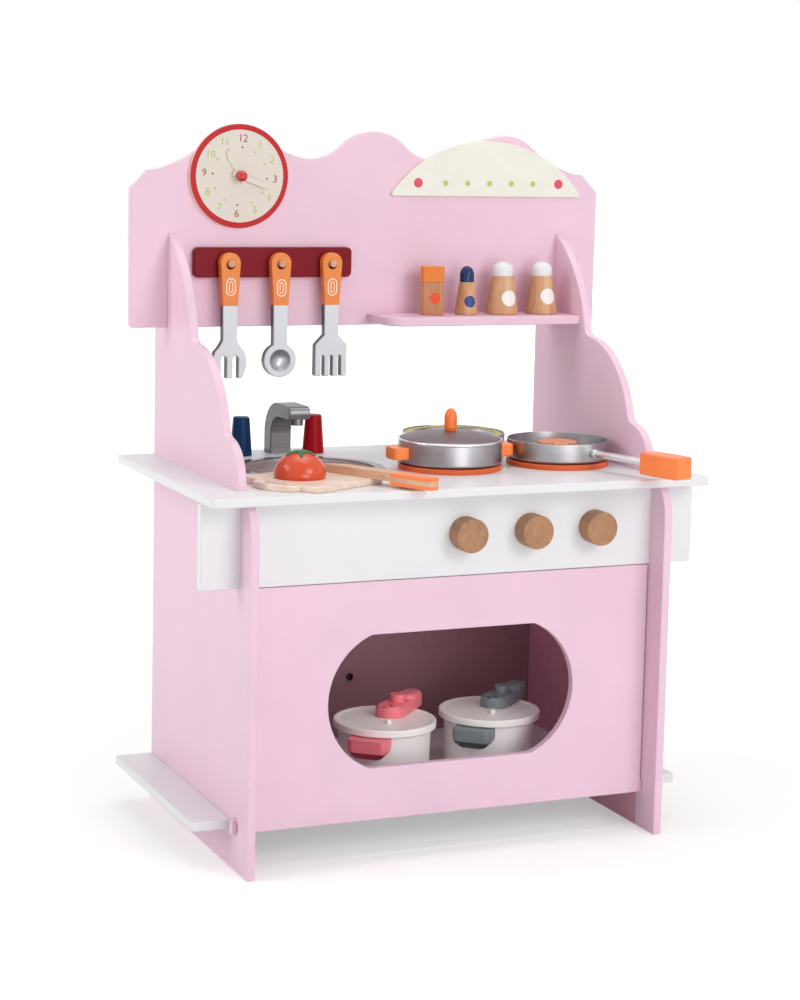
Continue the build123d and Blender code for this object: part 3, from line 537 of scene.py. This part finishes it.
# Oven knobs and their dowels: turned from beech and left bare. The round faces show end
# grain as short flecks, the sides show it as long lines.
def bare_wood(name, pale, dark, grain, rough=0.52):
    """Bare beech or poplar: long soft grain, short dark flecks, pale edges as wear and painted
    highlight.
    """
    finish, tree, skin, place = begin_finish(name)
    stretch = put(tree, "ShaderNodeMapping", Scale=grain)
    join(tree, place, "Object", stretch, "Vector")
    figure = noise(tree, stretch, "Vector", Scale=1.0, Detail=5.0, Roughness=0.6, Distortion=0.6)
    short = put(tree, "ShaderNodeMapping", Scale=tuple(5.5 * g for g in grain))
    join(tree, place, "Object", short, "Vector")
    ray = noise(tree, short, "Vector", Scale=1.6, Detail=2.0, Roughness=0.5)
    body = ramp(tree, figure, "Fac", [(0.30, shade(dark)), (0.70, shade(pale))])
    marks = ramp(tree, ray, "Fac", [(0.58, grey(0.0)), (0.72, grey(0.5))])
    # F3DCC0 on the edges is partly wear and partly a painted highlight.
    bevel = rubbed_edge(tree, skin, blend(tree, marks, body, shade(dark)), "#F3DCC0", 0.0009, 0.3)
    embossed(tree, skin, ray, 0.22, 0.0003, bevel)
    glossed(tree, skin, figure, rough - 0.06, rough + 0.08)
    return finish


knob_wood = bare_wood("knob_beech", "#B88862", "#94694A", grain=(120.0, 16.0, 60.0))
dress(knob_wood, "oven_knob_1", "oven_knob_2", "oven_knob_3", "control_dowels")


# Hob rings: two turned wooden rings sprayed orange and screwed to the worktop, on which the
# pot and the pan stand.
hob_orange = sprayed("hob_orange", "#DC5F28", rough=0.38, edge_lightening=0.25)
grip_orange = sprayed("grip_orange", "#FF8642", rough=0.36, edge_lightening=0.25)
dress(hob_orange, "hob_rings")


# Clock: a turned disc of light wood whose front is printed red with a cream face on it. The
# numerals and dots are printed, and the two hands are thin moulded plastic on a red ball pin.
CLOCK_TILT = math.radians(-4.5)
FACE_R = 0.0535
DOT_RING = 0.0334
NUMERAL_RING, NUMERAL_TALL = 0.0436, 0.0122
PRINT = 0.00009
INK_LIFT = 0.00004


def printed_front(name, front, side):
    """A board printed on its front only: the sawn rim stays light wood."""
    finish, tree, skin, place = begin_finish(name)
    split = split_up(tree, put(tree, "ShaderNodeNewGeometry"), "Normal")
    shift = reckon(tree, "ADD", split, "Y", 0.35)
    share = ramp(tree, shift, "Value", [(0.0, grey(0.0)), (0.02, grey(1.0))])
    clouds = noise(tree, place, "Object", Scale=40.0, Detail=3.0)
    base = shade(front)
    film = ramp(tree, clouds, "Fac", [(0.3, toned(base, 0.95)), (0.7, base)])
    # F6E6D8 on the edges is partly wear and partly a painted highlight.
    bevel = rubbed_edge(tree, skin, blend(tree, share, film, shade(side)), "#F6E6D8", 0.0007, 0.4)
    embossed(tree, skin, clouds, 0.08, 0.0003, bevel)
    glossed(tree, skin, clouds, 0.37, 0.47)
    skin.inputs["Specular IOR Level"].default_value = 0.25
    return finish


def ink(name, code, rough=0.45):
    """Screen-printing ink: a flat film with small pinholes and thin spots."""
    finish, tree, skin, place = begin_finish(name)
    film = noise(tree, place, "Object", Scale=650.0, Detail=3.0, Roughness=0.7)
    base = shade(code)
    other_tone = tuple(min(c * 1.12 + 0.004, 1.0) for c in base[:3]) + (1.0,)
    colour = ramp(tree, film, "Fac", [(0.45, base), (0.85, other_tone)])
    join(tree, colour, "Color", skin, "Base Color")
    glossed(tree, skin, film, rough - 0.06, rough + 0.08)
    embossed(tree, skin, film, 0.1, 0.0001)
    return finish


def printed(name, outlines, y_front, thick, finish, body):
    """Flat print on a board's front: each outline in X and Z becomes a film `thick` deep."""
    work = bmesh.new()
    for outline in outlines:
        front = [work.verts.new((x, y_front - thick, z)) for x, z in outline]
        back = [work.verts.new((x, y_front, z)) for x, z in outline]
        work.faces.new(front)
        work.faces.new(list(reversed(back)))
        for i in range(len(front)):
            j = (i + 1) % len(front)
            work.faces.new((front[j], front[i], back[i], back[j]))
    bmesh.ops.recalc_face_normals(work, faces=work.faces)
    return settle(name, work, finish, body)


def ring_points(x, z, r, count):
    return [(x + r * math.sin(2 * math.pi * i / count), z + r * math.cos(2 * math.pi * i / count))
            for i in range(count)]


clock_x, _, clock_z = middle_of("clock_disc")
clock_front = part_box("clock_disc")[0][1]
dress(printed_front("clock_red_print", "#C01621", "#F2CDB0"), "clock_disc")
face_cream = ink("clock_face_cream", "#DCD3C7", rough=0.5)
numeral_red = ink("numeral_red", "#960F20")
numeral_lime = ink("numeral_lime", "#AEBB4E")
printed("clock_face", [ring_points(clock_x, clock_z, FACE_R, 128)], clock_front, PRINT,
        face_cream, "cabinet")


def numerals(name, hours, finish):
    """The hours as upright print, set in a ring that is turned a little with the disc."""
    work = bmesh.new()
    for hour in hours:
        letter = bpy.data.curves.new(f"hour_{hour}", "FONT")
        letter.body = str(hour)
        letter.size = NUMERAL_TALL
        letter.align_x = "CENTER"
        letter.align_y = "CENTER"
        letter.extrude = 0.00003
        letter.resolution_u = 6
        holder = bpy.data.objects.new(f"hour_{hour}", letter)
        bpy.context.scene.collection.objects.link(holder)
        shape = bpy.data.meshes.new_from_object(
            holder.evaluated_get(bpy.context.evaluated_depsgraph_get()))
        bpy.data.objects.remove(holder)
        turn = CLOCK_TILT - math.radians(30 * hour)
        x = clock_x - NUMERAL_RING * math.sin(turn)
        z = clock_z + NUMERAL_RING * math.cos(turn)
        lean = Matrix.Rotation(CLOCK_TILT, 4, "Y").inverted()
        upright = Matrix.Rotation(math.pi / 2, 4, "X")
        place = Matrix.Translation((x, clock_front - PRINT - INK_LIFT, z))
        shape.transform(place @ lean @ upright)
        work.from_mesh(shape)
    return settle(name, work, finish, "cabinet")


numerals("quarter_numerals", (3, 6, 9, 12), numeral_red)
numerals("hour_numerals", (1, 2, 4, 5, 7, 8, 10, 11), numeral_lime)

dots_tree, dots_in, dots_out = rule_tree("ring_of_dots", {
    "Count": ("NodeSocketInt", 12),
    "Ring radius": ("NodeSocketFloat", DOT_RING),
    "Dot radius": ("NodeSocketFloat", 0.0012),
    "Film": ("NodeSocketFloat", 0.00008),
    "Every": ("NodeSocketInt", 3),
    "Keep the quarters": ("NodeSocketBool", True),
})
dots_ring = put(dots_tree, "GeometryNodeMeshCircle")
join(dots_tree, dots_in, "Count", dots_ring, "Vertices")
join(dots_tree, dots_in, "Ring radius", dots_ring, "Radius")
dots_index = put(dots_tree, "GeometryNodeInputIndex")
dots_rest = put(dots_tree, "ShaderNodeMath", operation="MODULO")
join(dots_tree, dots_index, "Index", dots_rest, 0)
join(dots_tree, dots_in, "Every", dots_rest, 1)
dots_quarter = put(dots_tree, "FunctionNodeCompare", data_type="FLOAT", operation="LESS_THAN")
join(dots_tree, dots_rest, "Value", dots_quarter, "A")
dots_quarter.inputs["B"].default_value = 0.5
dots_wanted = put(dots_tree, "FunctionNodeBooleanMath", operation="XNOR")
join(dots_tree, dots_quarter, "Result", dots_wanted, 0)
join(dots_tree, dots_in, "Keep the quarters", dots_wanted, 1)
dot = put(dots_tree, "GeometryNodeMeshCylinder", Vertices=20)
join(dots_tree, dots_in, "Dot radius", dot, "Radius")
join(dots_tree, dots_in, "Film", dot, "Depth")
dots_set = put(dots_tree, "GeometryNodeInstanceOnPoints")
join(dots_tree, dots_ring, "Mesh", dots_set, "Points")
join(dots_tree, dots_wanted, "Boolean", dots_set, "Selection")
join(dots_tree, dot, "Mesh", dots_set, "Instance")
dots_stand = put(dots_tree, "GeometryNodeTransform", Rotation=(math.pi / 2, -CLOCK_TILT, 0))
join(dots_tree, dots_set, "Instances", dots_stand, "Geometry")
dots_place = put(dots_tree, "GeometryNodeTransform",
                 Translation=(clock_x, clock_front - PRINT - INK_LIFT, clock_z))
join(dots_tree, dots_stand, "Geometry", dots_place, "Geometry")
dots_ink = sealed(dots_tree, dots_place, "Geometry", dots_out)
for label, quarters, finish in (("quarter_dots", True, numeral_red),
                                ("hour_dots", False, numeral_lime)):
    dots_ink.inputs["Material"].default_value = finish
    dots = grow(label, dots_tree, finish, {"Keep the quarters": quarters})
    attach(dots, "cabinet")
hand_plastic = moulded("hand_plastic", "#DCD5C4", rough=0.35)
dress(hand_plastic, "hour_hand", "minute_hand")
dress(sprayed("pin_red", "#C81C28", rough=0.16, edge_lightening=0.1, sheen=0.6), "clock_pin")


# Display panel: a thin board with a bowed top, printed cream, with one row of round lamps:
# five small green ones between two larger red ones.
panel_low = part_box("display_panel")[0]
LAMP_Y, LAMP_Z = panel_low[1] - INK_LIFT, panel_low[2] + 0.016
dress(printed_front("panel_cream_print", "#F1EEE2", "#EAD9C4"), "display_panel")
lamp_red = ink("lamp_red", "#D9465C")
lamp_green = ink("lamp_green", "#AEC65A")

row_tree, row_in, row_out = rule_tree("row_of_lamps", {
    "Count": ("NodeSocketInt", 5),
    "Start": ("NodeSocketVector", (0.0, 0.0, 0.0)),
    "Step": ("NodeSocketVector", (0.029, 0.0, 0.0)),
    "Lamp radius": ("NodeSocketFloat", 0.0033),
    "Film": ("NodeSocketFloat", 0.00012),
})
row_line = put(row_tree, "GeometryNodeMeshLine")
join(row_tree, row_in, "Count", row_line, "Count")
join(row_tree, row_in, "Start", row_line, "Start Location")
join(row_tree, row_in, "Step", row_line, "Offset")
lamp = put(row_tree, "GeometryNodeMeshCylinder", Vertices=40)
join(row_tree, row_in, "Lamp radius", lamp, "Radius")
join(row_tree, row_in, "Film", lamp, "Depth")
row_set = put(row_tree, "GeometryNodeInstanceOnPoints", Rotation=(math.pi / 2, 0, 0))
join(row_tree, row_line, "Mesh", row_set, "Points")
join(row_tree, lamp, "Mesh", row_set, "Instance")
row_ink = sealed(row_tree, row_set, "Instances", row_out)
for label, count, start, step, radius, finish in (
        ("green_lamps", 5, 0.092, 0.02940, 0.0034, lamp_green),
        ("red_lamps", 2, 0.0562, 0.1885, 0.0058, lamp_red)):
    row_ink.inputs["Material"].default_value = finish
    lamps = grow(label, row_tree, finish, {
        "Count": count,
        "Start": (start, LAMP_Y, LAMP_Z),
        "Step": (step, 0.0, 0.0),
        "Lamp radius": radius,
    })
    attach(lamps, "cabinet")


# Utensil rack: a dark red board with rounded ends, screwed to the backboard, with three
# beech pegs glued into it.
# The paler red #B05A62 on the rack's edges is partly wear and partly a painted highlight.
rack_red = sprayed("rack_red_paint", "#7E111F", rough=0.36, edge_lightening=0.2, edge="#B05A62", sheen=0.12)
dress(rack_red, "utensil_rack")


# Utensils: two forks and a spoon sawn from board, the handle dipped in orange and the head
# in silver grey with its sides painted dark as painted shade, and white rings printed on each handle.
# The spoon has a pressed-in plate.
DIP_Z = 0.597
RING_HALF, RING_LINE = (0.0058, 0.0102), 0.0011
SLIT_HALF, SLIT_LINE = (0.0024, 0.0066), 0.0008
HANDLE_PRINT = 0.00012


def dipped(name, handle, head, shaded_flank, dip_z):
    """Two paints that meet at a level line: the handle above, the head below with flanks in painted
    shade.
    """
    finish, tree, skin, place = begin_finish(name)
    above = reckon(tree, "GREATER_THAN", split_up(tree, place, "Object"), "Z", dip_z)
    # Faces of the head turned away from the front get the darker colour: painted shade.
    turn = split_up(tree, put(tree, "ShaderNodeNewGeometry"), "Normal")
    sideways = reckon(tree, "ABSOLUTE", turn, "Y")
    share = ramp(tree, sideways, "Value", [(0.35, grey(1.0)), (0.75, grey(0.0))])
    metal = blend(tree, share, shade(head), shade(shaded_flank))
    clouds = noise(tree, place, "Object", Scale=55.0, Detail=3.0)
    base = shade(handle)
    paint = ramp(tree, clouds, "Fac", [(0.3, toned(base, 0.93)), (0.7, base)])
    # FFF4E6 on the edges is partly wear and partly a painted highlight.
    bevel = rubbed_edge(tree, skin, blend(tree, above, metal, paint), "#FFF4E6", 0.0008, 0.25)
    droplets = noise(tree, place, "Object", Scale=800.0, Detail=2.0)
    embossed(tree, skin, droplets, 0.1, 0.0003, bevel)
    glossed(tree, skin, clouds, 0.33, 0.45)
    return finish


def stadium(x, z, half_width, half_height):
    """A closed loop of points round a tall stadium."""
    steps, straight = 14, half_height - half_width
    loop = []
    for side in (0, 1):
        for i in range(steps + 1):
            angle = math.pi * (side + i / steps)
            lift = straight if side == 0 else -straight
            loop.append((x + half_width * math.cos(angle), z + lift + half_width * math.sin(angle)))
    return loop


def outline(x, z, half, line):
    """The line of a stadium as short quads, `half` being half its width and half its height."""
    outer = stadium(x, z, *half)
    inner = stadium(x, z, half[0] - line, half[1] - line)
    count = len(outer)
    return [[outer[i], outer[(i + 1) % count], inner[(i + 1) % count], inner[i]]
            for i in range(count)]


# 3C4043 is the painted shade on the sides of the heads.
utensil_paint = dipped("utensil_paint", "#EC8430", "#DADFE3", "#3C4043", DIP_Z)
dress(utensil_paint, "curved_fork", "spoon", "square_fork")

# The spoon's hollow is a thin polished plate pressed into the wood.
SCOOP_RIM, SCOOP_DEEP, SCOOP_STEPS, PLATE = 0.0133, 0.0060, 16, 0.00015
SCOOP_R = (SCOOP_RIM ** 2 + SCOOP_DEEP ** 2) / (2 * SCOOP_DEEP)
SCOOP_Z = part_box("spoon")[0][2] + 0.020
hollow = []
for step in range(SCOOP_STEPS + 1):
    r = SCOOP_RIM * step / SCOOP_STEPS
    hollow.append((r, SCOOP_R - SCOOP_DEEP - math.sqrt(SCOOP_R ** 2 - r ** 2)))
spoon_silver = plated("spoon_silver", "#A4A7AA", rough=0.40, bloom_scale=60.0)
plate_top = [(r, h + PLATE, 0) for r, h in hollow]
plate_back = [(r, h - PLATE, 0) for r, h in reversed(hollow)]
spoon_middle = (middle_of("spoon")[0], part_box("spoon")[0][1], SCOOP_Z)
spun("spoon_hollow", plate_top + plate_back, spoon_middle, spoon_silver, "utensil_middle",
     front=True, spokes=96)
handle_white = ink("handle_white", "#FFF3E4")
for node, body, x, z in (("curved_fork", "utensil_left", -0.1855, 0.6190),
                         ("spoon", "utensil_middle", -0.1231, 0.6175),
                         ("square_fork", "utensil_right", -0.0592, 0.6181)):
    rings = outline(x, z, RING_HALF, RING_LINE) + outline(x, z, SLIT_HALF, SLIT_LINE)
    printed(node + "_print", rings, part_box(node)[0][1], HANDLE_PRINT, handle_white, body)


# Jars: four spice jars of bare beech, the wood of the utensil pegs too, with painted caps
# glued on. Each has a round printed label, left without a letter.
JAR_1_TURN = math.radians(-22)
ALONG_Z = (110.0, 110.0, 14.0)
jar_wood = bare_wood("jar_beech", "#DCAF88", "#BC8559", grain=ALONG_Z)
dress(bare_wood("square_jar_beech", "#CC9066", "#A9704A", grain=ALONG_Z), "jar_1_body")
dress(jar_wood, "utensil_pegs", "jar_2_body", "jar_3_body", "jar_4_body")
dress(sprayed("cap_orange", "#E47E2C", rough=0.36, edge_lightening=0.2), "jar_1_cap")
dress(sprayed("cap_navy", "#0F2F60", rough=0.2, edge_lightening=0.1, sheen=0.3), "jar_2_cap")
dress(sprayed("cap_white", "#E8E7EA", rough=0.34, edge_lightening=0.2), "jar_3_cap", "jar_4_cap")


def wrapped_label(name, node, x, z, radius, finish, body, turn):
    """A round label laid on a jar: a disc of points is pressed on to the wood, square to a
    face that is turned by `turn`."""
    film, rings, spokes, run_up = 0.00012, 6, 48, 0.08
    wood = bmesh.new()
    wood.from_mesh(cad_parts[node].data)
    wall = BVHTree.FromBMesh(wood)
    wood.free()
    into = Vector((-math.sin(turn), math.cos(turn), 0))
    across = Vector((math.cos(turn), math.sin(turn), 0))
    middle = Vector((x, middle_of(node)[1], z))

    def pressed(r, angle, lift):
        start = middle + across * (r * math.cos(angle)) + Vector((0, 0, r * math.sin(angle)))
        hit, normal, _, _ = wall.ray_cast(start - into * run_up, into)
        return hit + normal * lift

    work = bmesh.new()
    hub = work.verts.new(pressed(0.0, 0.0, film))
    rows = []
    for i in range(1, rings + 2):
        lift = film if i <= rings else 0.0
        r = radius * min(i, rings) / rings
        rows.append([work.verts.new(pressed(r, 2 * math.pi * j / spokes, lift))
                     for j in range(spokes)])
    for j in range(spokes):
        k = (j + 1) % spokes
        work.faces.new((hub, rows[0][j], rows[0][k]))
        for a, b in zip(rows, rows[1:]):
            work.faces.new((a[j], b[j], b[k], a[k]))
    return settle(name, work, finish, body)


label_orange = ink("label_orange", "#DE4A22")
label_navy = ink("label_navy", "#173C7C")
label_white = ink("label_white", "#EDE8E6")
for jar, x, z, radius, finish, body, turn in (
        ("jar_1", 0.0685, 0.6050, 0.0066, label_orange, "jar_square", JAR_1_TURN),
        ("jar_2", 0.1102, 0.6010, 0.0070, label_navy, "jar_small", 0.0),
        ("jar_3", 0.1599, 0.6047, 0.0095, label_white, "jar_large_left", 0.0),
        ("jar_4", 0.2124, 0.6068, 0.0095, label_white, "jar_large_right", 0.0)):
    wrapped_label(jar + "_label", jar + "_body", x, z, radius, finish, body, turn)


# Pot with its lid: a drawn steel shell with two orange side grips glued to its wall, a domed
# lid with a rolled bead at its rim, and an orange bullet knob.
POT_R, POT_TALL, WALL = 0.060, 0.026, 0.0015
FOOT, BEND, LIP_BEND = 0.003, 0.001, 0.0005
pot_steel = spun_steel("pot_steel", "#A4A3A6", middle_of("pot_shell"), 0.32)
pot = spun("pot_drawn", [
    (0.0, 0.0, 0), (POT_R - FOOT, 0.0, BEND), (POT_R, FOOT, BEND), (POT_R, POT_TALL, LIP_BEND),
    (POT_R - WALL, POT_TALL, LIP_BEND), (POT_R - WALL, FOOT + 0.0005, BEND),
    (POT_R - FOOT - 0.001, WALL, BEND), (0.0, WALL, 0)],
    foot_of("pot_shell"), pot_steel, "pot")
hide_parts("pot_shell")

LID_RISE, LID_RIM, BEAD = 0.011, 0.003, 0.0016
LIP, LIP_TALL = POT_R - WALL - 0.0004, 0.003
LID_R, BEAD_RING = POT_R - 0.0012, POT_R - 0.0007


def dome(low, reach):
    """Half the section of the lid, from the crown to the rim."""
    steps, rows = 16, []
    for i in range(steps + 1):
        t = i / steps
        r = 3 * t * (1 - t) ** 2 * 0.36 * reach + 3 * t ** 2 * (1 - t) * 0.72 * reach + t ** 3 * reach
        fall = LID_RISE * ((1 - t) ** 3 + 3 * t * (1 - t) ** 2 + 3 * t ** 2 * (1 - t) * 0.8)
        rows.append((r, fall + t ** 3 * LID_RIM - low, 0))
    return rows


lid_foot = foot_of("pot_lid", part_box("pot_shell")[1][2])
lid_steel = spun_steel("lid_steel", "#82797D", middle_of("pot_shell"), 0.46, metallic=0.85)
lid_lip = [(LIP, 0.0, 0), (LIP, -LIP_TALL, 0.0004), (LIP - WALL, -LIP_TALL, 0.0004)]
lid = spun("lid_dome", dome(0.0, LID_R) + lid_lip + dome(WALL, LIP - WALL)[::-1],
           lid_foot, lid_steel, "pot_cover")
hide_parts("pot_lid")
bead_steel = spun_steel("bead_steel", "#E2DFE1", middle_of("pot_shell"), 0.2)
bead_round = [(BEAD_RING + BEAD * math.cos(math.radians(a)),
               BEAD + BEAD * math.sin(math.radians(a)), 0) for a in range(0, 360, 15)]
spun("lid_bead", bead_round, lid_foot, bead_steel, "pot_cover")
dress(grip_orange, "pot_grips")
dress(sprayed("knob_orange", "#FA7A34", rough=0.22, edge_lightening=0.1), "pot_lid_knob")


# Pan: a drawn steel shell with a round steel rod let into its wall and an orange grip on the
# rod's end. A thick round slice of play food lies in it.
PAN_TALL = 0.024
SLICE_R, SLICE_TALL, SLICE_BEND = 0.0230, 0.0195, 0.002
pan_steel = spun_steel("pan_steel", "#B4B3B5", middle_of("pan_shell"), 0.32)
pan = spun("pan_drawn", [
    (0.0, 0.0, 0), (POT_R - FOOT - WALL, 0.0, BEND), (POT_R - WALL, FOOT, BEND),
    (POT_R, PAN_TALL, LIP_BEND), (POT_R - WALL, PAN_TALL, LIP_BEND),
    (POT_R - 2 * WALL, FOOT + 0.0005, 0.0008), (POT_R - 0.005, WALL, 0.0008), (0.0, WALL, 0)],
    foot_of("pan_shell"), pan_steel, "pan")
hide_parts("pan_shell")
dress(plated("rod_steel", "#E2E6E6", rough=0.27, bloom_scale=40.0), "pan_rod")
dress(grip_orange, "pan_grip")


def speckled(name, code, fleck):
    """Paint of a fried slice: an even ground with short curled flecks."""
    finish, tree, skin, place = begin_finish(name)
    curl = noise(tree, place, "Object", Scale=210.0, Detail=3.0, Distortion=2.5)
    colour = ramp(tree, curl, "Fac", [(0.50, shade(code)), (0.60, shade(fleck))])
    join(tree, colour, "Color", skin, "Base Color")
    glossed(tree, skin, curl, 0.4, 0.5)
    return finish


slice_round = [(0.0, 0.0, 0), (SLICE_R, 0.0, SLICE_BEND), (SLICE_R, SLICE_TALL, SLICE_BEND),
               (0.0, SLICE_TALL, 0)]
spun("pan_slice", slice_round, foot_of("pan_shell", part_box("pan_shell")[0][2] + WALL),
     speckled("pan_food", "#F0A070", "#B4644E"), "pan")


# Serving dish: a straight-sided steel dish behind the pot. Its filling is printed with a lime
# ring, and a thin dark brown ring lies round its edge against the wall, just below the rim.
DISH_R, DISH_TALL, DISH_STEP, FILLING_DROP = 0.062, 0.026, 0.0015, 0.005
dish_steel = spun_steel("dish_steel", "#B4B3B5", middle_of("serving_dish"), 0.3)
dish = spun("dish_drawn", [
    (0.0, 0.0, 0), (DISH_R - FOOT, 0.0, BEND), (DISH_R, FOOT, BEND), (DISH_R, DISH_TALL, LIP_BEND),
    (DISH_R - WALL, DISH_TALL, LIP_BEND), (DISH_R - WALL, DISH_TALL - DISH_STEP, 0),
    (DISH_R - 0.011, DISH_TALL - DISH_STEP, 0.0006),
    (DISH_R - 0.013, DISH_TALL - FILLING_DROP, 0.0006), (0.0, DISH_TALL - FILLING_DROP, 0)],
    foot_of("serving_dish"), dish_steel, "dish")
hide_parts("serving_dish")
dish_print_foot = foot_of("serving_dish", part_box("serving_dish")[1][2] - DISH_STEP)
dish_outer = DISH_R - WALL
for label, inner, tall, code in (("dish_ring", DISH_R - 0.0118, 0.0002, "#C9C46A"),
                                 ("dish_line", DISH_R - 0.0030, 0.0004, "#8A6A55")):
    flat_ring = [(dish_outer, 0.0, 0), (dish_outer, tall, 0), (inner, tall, 0), (inner, 0.0, 0)]
    spun(label, flat_ring, dish_print_foot, ink(label, code), "dish")


# Chopping board, half tomato and knife: loose play food and tools. The board and the blade
# are varnished poplar. The tomato is turned and painted, and its green leaf is glued on top.
board_wood = bare_wood("board_poplar", "#F2E2D4", "#DDBFA9", grain=(14.0, 90.0, 90.0), rough=0.42)
dress(board_wood, "chopping_board")
dress(sprayed("tomato_paint", "#D24A22", rough=0.18, edge_lightening=0.0, peel=0.03, sheen=0.5), "tomato")
dress(sprayed("leaf_paint", "#0E6B33", rough=0.35, edge_lightening=0.1), "tomato_calyx")
dress(bare_wood("blade_wood", "#E4BCA0", "#C4926F", grain=(40.0, 12.0, 120.0)), "knife_blade")
dress(grip_orange, "knife_cheeks")


# Pressure cookers: moulded in cream plastic, with a flat lid. The lever, the valve knob and
# the front grip are pink on one and grey on the other, the grips painted darker at the foot as
# painted shade.
GRIP_PINK, GRIP_GREY = "#F5808A", "#7C878C"
cooker_cream = moulded("cooker_cream", "#FFFAF7", rough=0.3)
dress(cooker_cream, "pink_cooker_body", "pink_cooker_lid", "grey_cooker_body", "grey_cooker_lid")
dress(moulded("cooker_pink", GRIP_PINK, rough=0.36), "pink_cooker_lever")
dress(moulded("cooker_grey", GRIP_GREY, rough=0.36), "grey_cooker_lever")
grip_low, grip_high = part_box("pink_cooker_grip")[0][2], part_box("pink_cooker_grip")[1][2]
GRIP_SHADE = ("Z", "LESS_THAN", grip_low + 0.38 * (grip_high - grip_low))
# B5455A and #4C5559 at the foot of the grips are painted shade.
grip_pink = second_coat(moulded("grip_pink", GRIP_PINK, rough=0.36), "#B5455A", GRIP_SHADE)
grip_grey = second_coat(moulded("grip_grey", GRIP_GREY, rough=0.36), "#4C5559", GRIP_SHADE)
dress(grip_pink, "pink_cooker_grip")
dress(grip_grey, "grey_cooker_grip")


# Floor: a wide pale sheet. What the camera sees of it is lifted to white, and the shadow of
# the kitchen stays on it.
def seen_lift(tree):
    """1 for rays from the camera, from gloss and through glass, 0 for the light itself."""
    path = put(tree, "ShaderNodeLightPath")
    some = reckon(tree, "MAXIMUM", path, "Is Camera Ray")
    join(tree, path, "Is Glossy Ray", some, 1)
    every = reckon(tree, "MAXIMUM", some, "Value")
    join(tree, path, "Is Transmission Ray", every, 1)
    return every


floor_mesh = bpy.data.meshes.new("floor")
floor_mesh.from_pydata([(-9, -6, 0), (9, -6, 0), (9, 12, 0), (-9, 12, 0)], [], [(0, 1, 2, 3)])
floor_sheet = bpy.data.objects.new("floor", floor_mesh)
bpy.context.scene.collection.objects.link(floor_sheet)
floor_finish = bpy.data.materials.new("floor_sheet")
floor_finish.use_nodes = True
floor_nodes = floor_finish.node_tree
floor_skin = floor_nodes.nodes["Principled BSDF"]
floor_skin.inputs["Base Color"].default_value = grey(0.80)
floor_skin.inputs["Roughness"].default_value = 0.9
floor_skin.inputs["Specular IOR Level"].default_value = 0.1
floor_skin.inputs["Emission Color"].default_value = grey(1.0)
floor_place = put(floor_nodes, "ShaderNodeTexCoord")
floor_reach = put(floor_nodes, "ShaderNodeVectorMath", operation="LENGTH")
join(floor_nodes, floor_place, "Object", floor_reach, 0)
floor_fade = put(floor_nodes, "ShaderNodeMapRange", From_Min=0.55, From_Max=1.7, To_Min=0.31,
                 To_Max=1.0)
join(floor_nodes, floor_reach, "Value", floor_fade, "Value")
floor_lift = reckon(floor_nodes, "MULTIPLY", floor_fade, "Result")
join(floor_nodes, seen_lift(floor_nodes), "Value", floor_lift, 1)
join(floor_nodes, floor_lift, "Value", floor_skin, "Emission Strength")
floor_mesh.materials.append(floor_finish)


# Studio light: a soft box high in front at the right, a low one in front, one at the left a
# little behind, and one overhead. The room gives the rest. A small lamp behind the top edge of
# the door, where the camera doesn't see it, lights the cookers.
def soft_box(name, place, aim, width, height, power):
    lamp = bpy.data.lights.new(name, "AREA")
    lamp.shape = "RECTANGLE"
    lamp.size, lamp.size_y = width, height
    lamp.energy = power
    holder = bpy.data.objects.new(name, lamp)
    holder.location = place
    holder.rotation_euler = (Vector(aim) - Vector(place)).to_track_quat("-Z", "Y").to_euler()
    bpy.context.scene.collection.objects.link(holder)


soft_box("front_box", (1.0, -2.5, 1.7), (0, 0, 0.40), 1.2, 1.0, 23.0)
soft_box("low_box", (0.1, -2.6, 0.5), (0, 0, 0.25), 1.2, 0.9, 12.5)
soft_box("left_box", (-2.6, 0.4, 1.5), (0, 0, 0.45), 1.6, 1.8, 29.0)
soft_box("top_box", (0.2, 0.2, 2.8), (0, 0, 0.0), 1.8, 1.8, 21.0)
soft_box("oven_lamp", (0, -0.06, 0.358), (0, 0.02, 0.20), 0.34, 0.03, 0.15)

room = bpy.data.worlds.new("room")
bpy.context.scene.world = room
room.use_nodes = True
room_tree = room.node_tree
room_sky = room_tree.nodes["Background"]
room_white = reckon(room_tree, "MULTIPLY_ADD", seen_lift(room_tree), "Value", 0.52)
room_white.inputs[2].default_value = 0.48
join(room_tree, room_white, "Value", room_sky, "Strength")
room_sky.inputs["Color"].default_value = grey(1.0)


# Camera: at the height of the top board, to the left of the middle, looking slightly down,
# as the photograph was taken.
EYE = Vector((-1.07877, -2.405445, 0.80906))
AHEAD = Vector((0.397892, 0.908125, -0.130346)).normalized()
LEAN = 0.022421
right = AHEAD.cross(Vector((0, 0, 1))).normalized()
upward = right.cross(AHEAD)
right, upward = (right * math.cos(LEAN) + upward * math.sin(LEAN),
                 upward * math.cos(LEAN) - right * math.sin(LEAN))
lens = bpy.data.cameras.new("camera")
lens.lens = 83.491
lens.sensor_width = 36.0
lens.shift_y = -0.07
lens.clip_end = 100.0
camera = bpy.data.objects.new("camera", lens)
camera.matrix_world = Matrix((
    (right.x, upward.x, -AHEAD.x, EYE.x),
    (right.y, upward.y, -AHEAD.y, EYE.y),
    (right.z, upward.z, -AHEAD.z, EYE.z),
    (0, 0, 0, 1),
))
bpy.context.scene.collection.objects.link(camera)
bpy.context.scene.camera = camera
bpy.context.scene.view_settings.view_transform = "Standard"
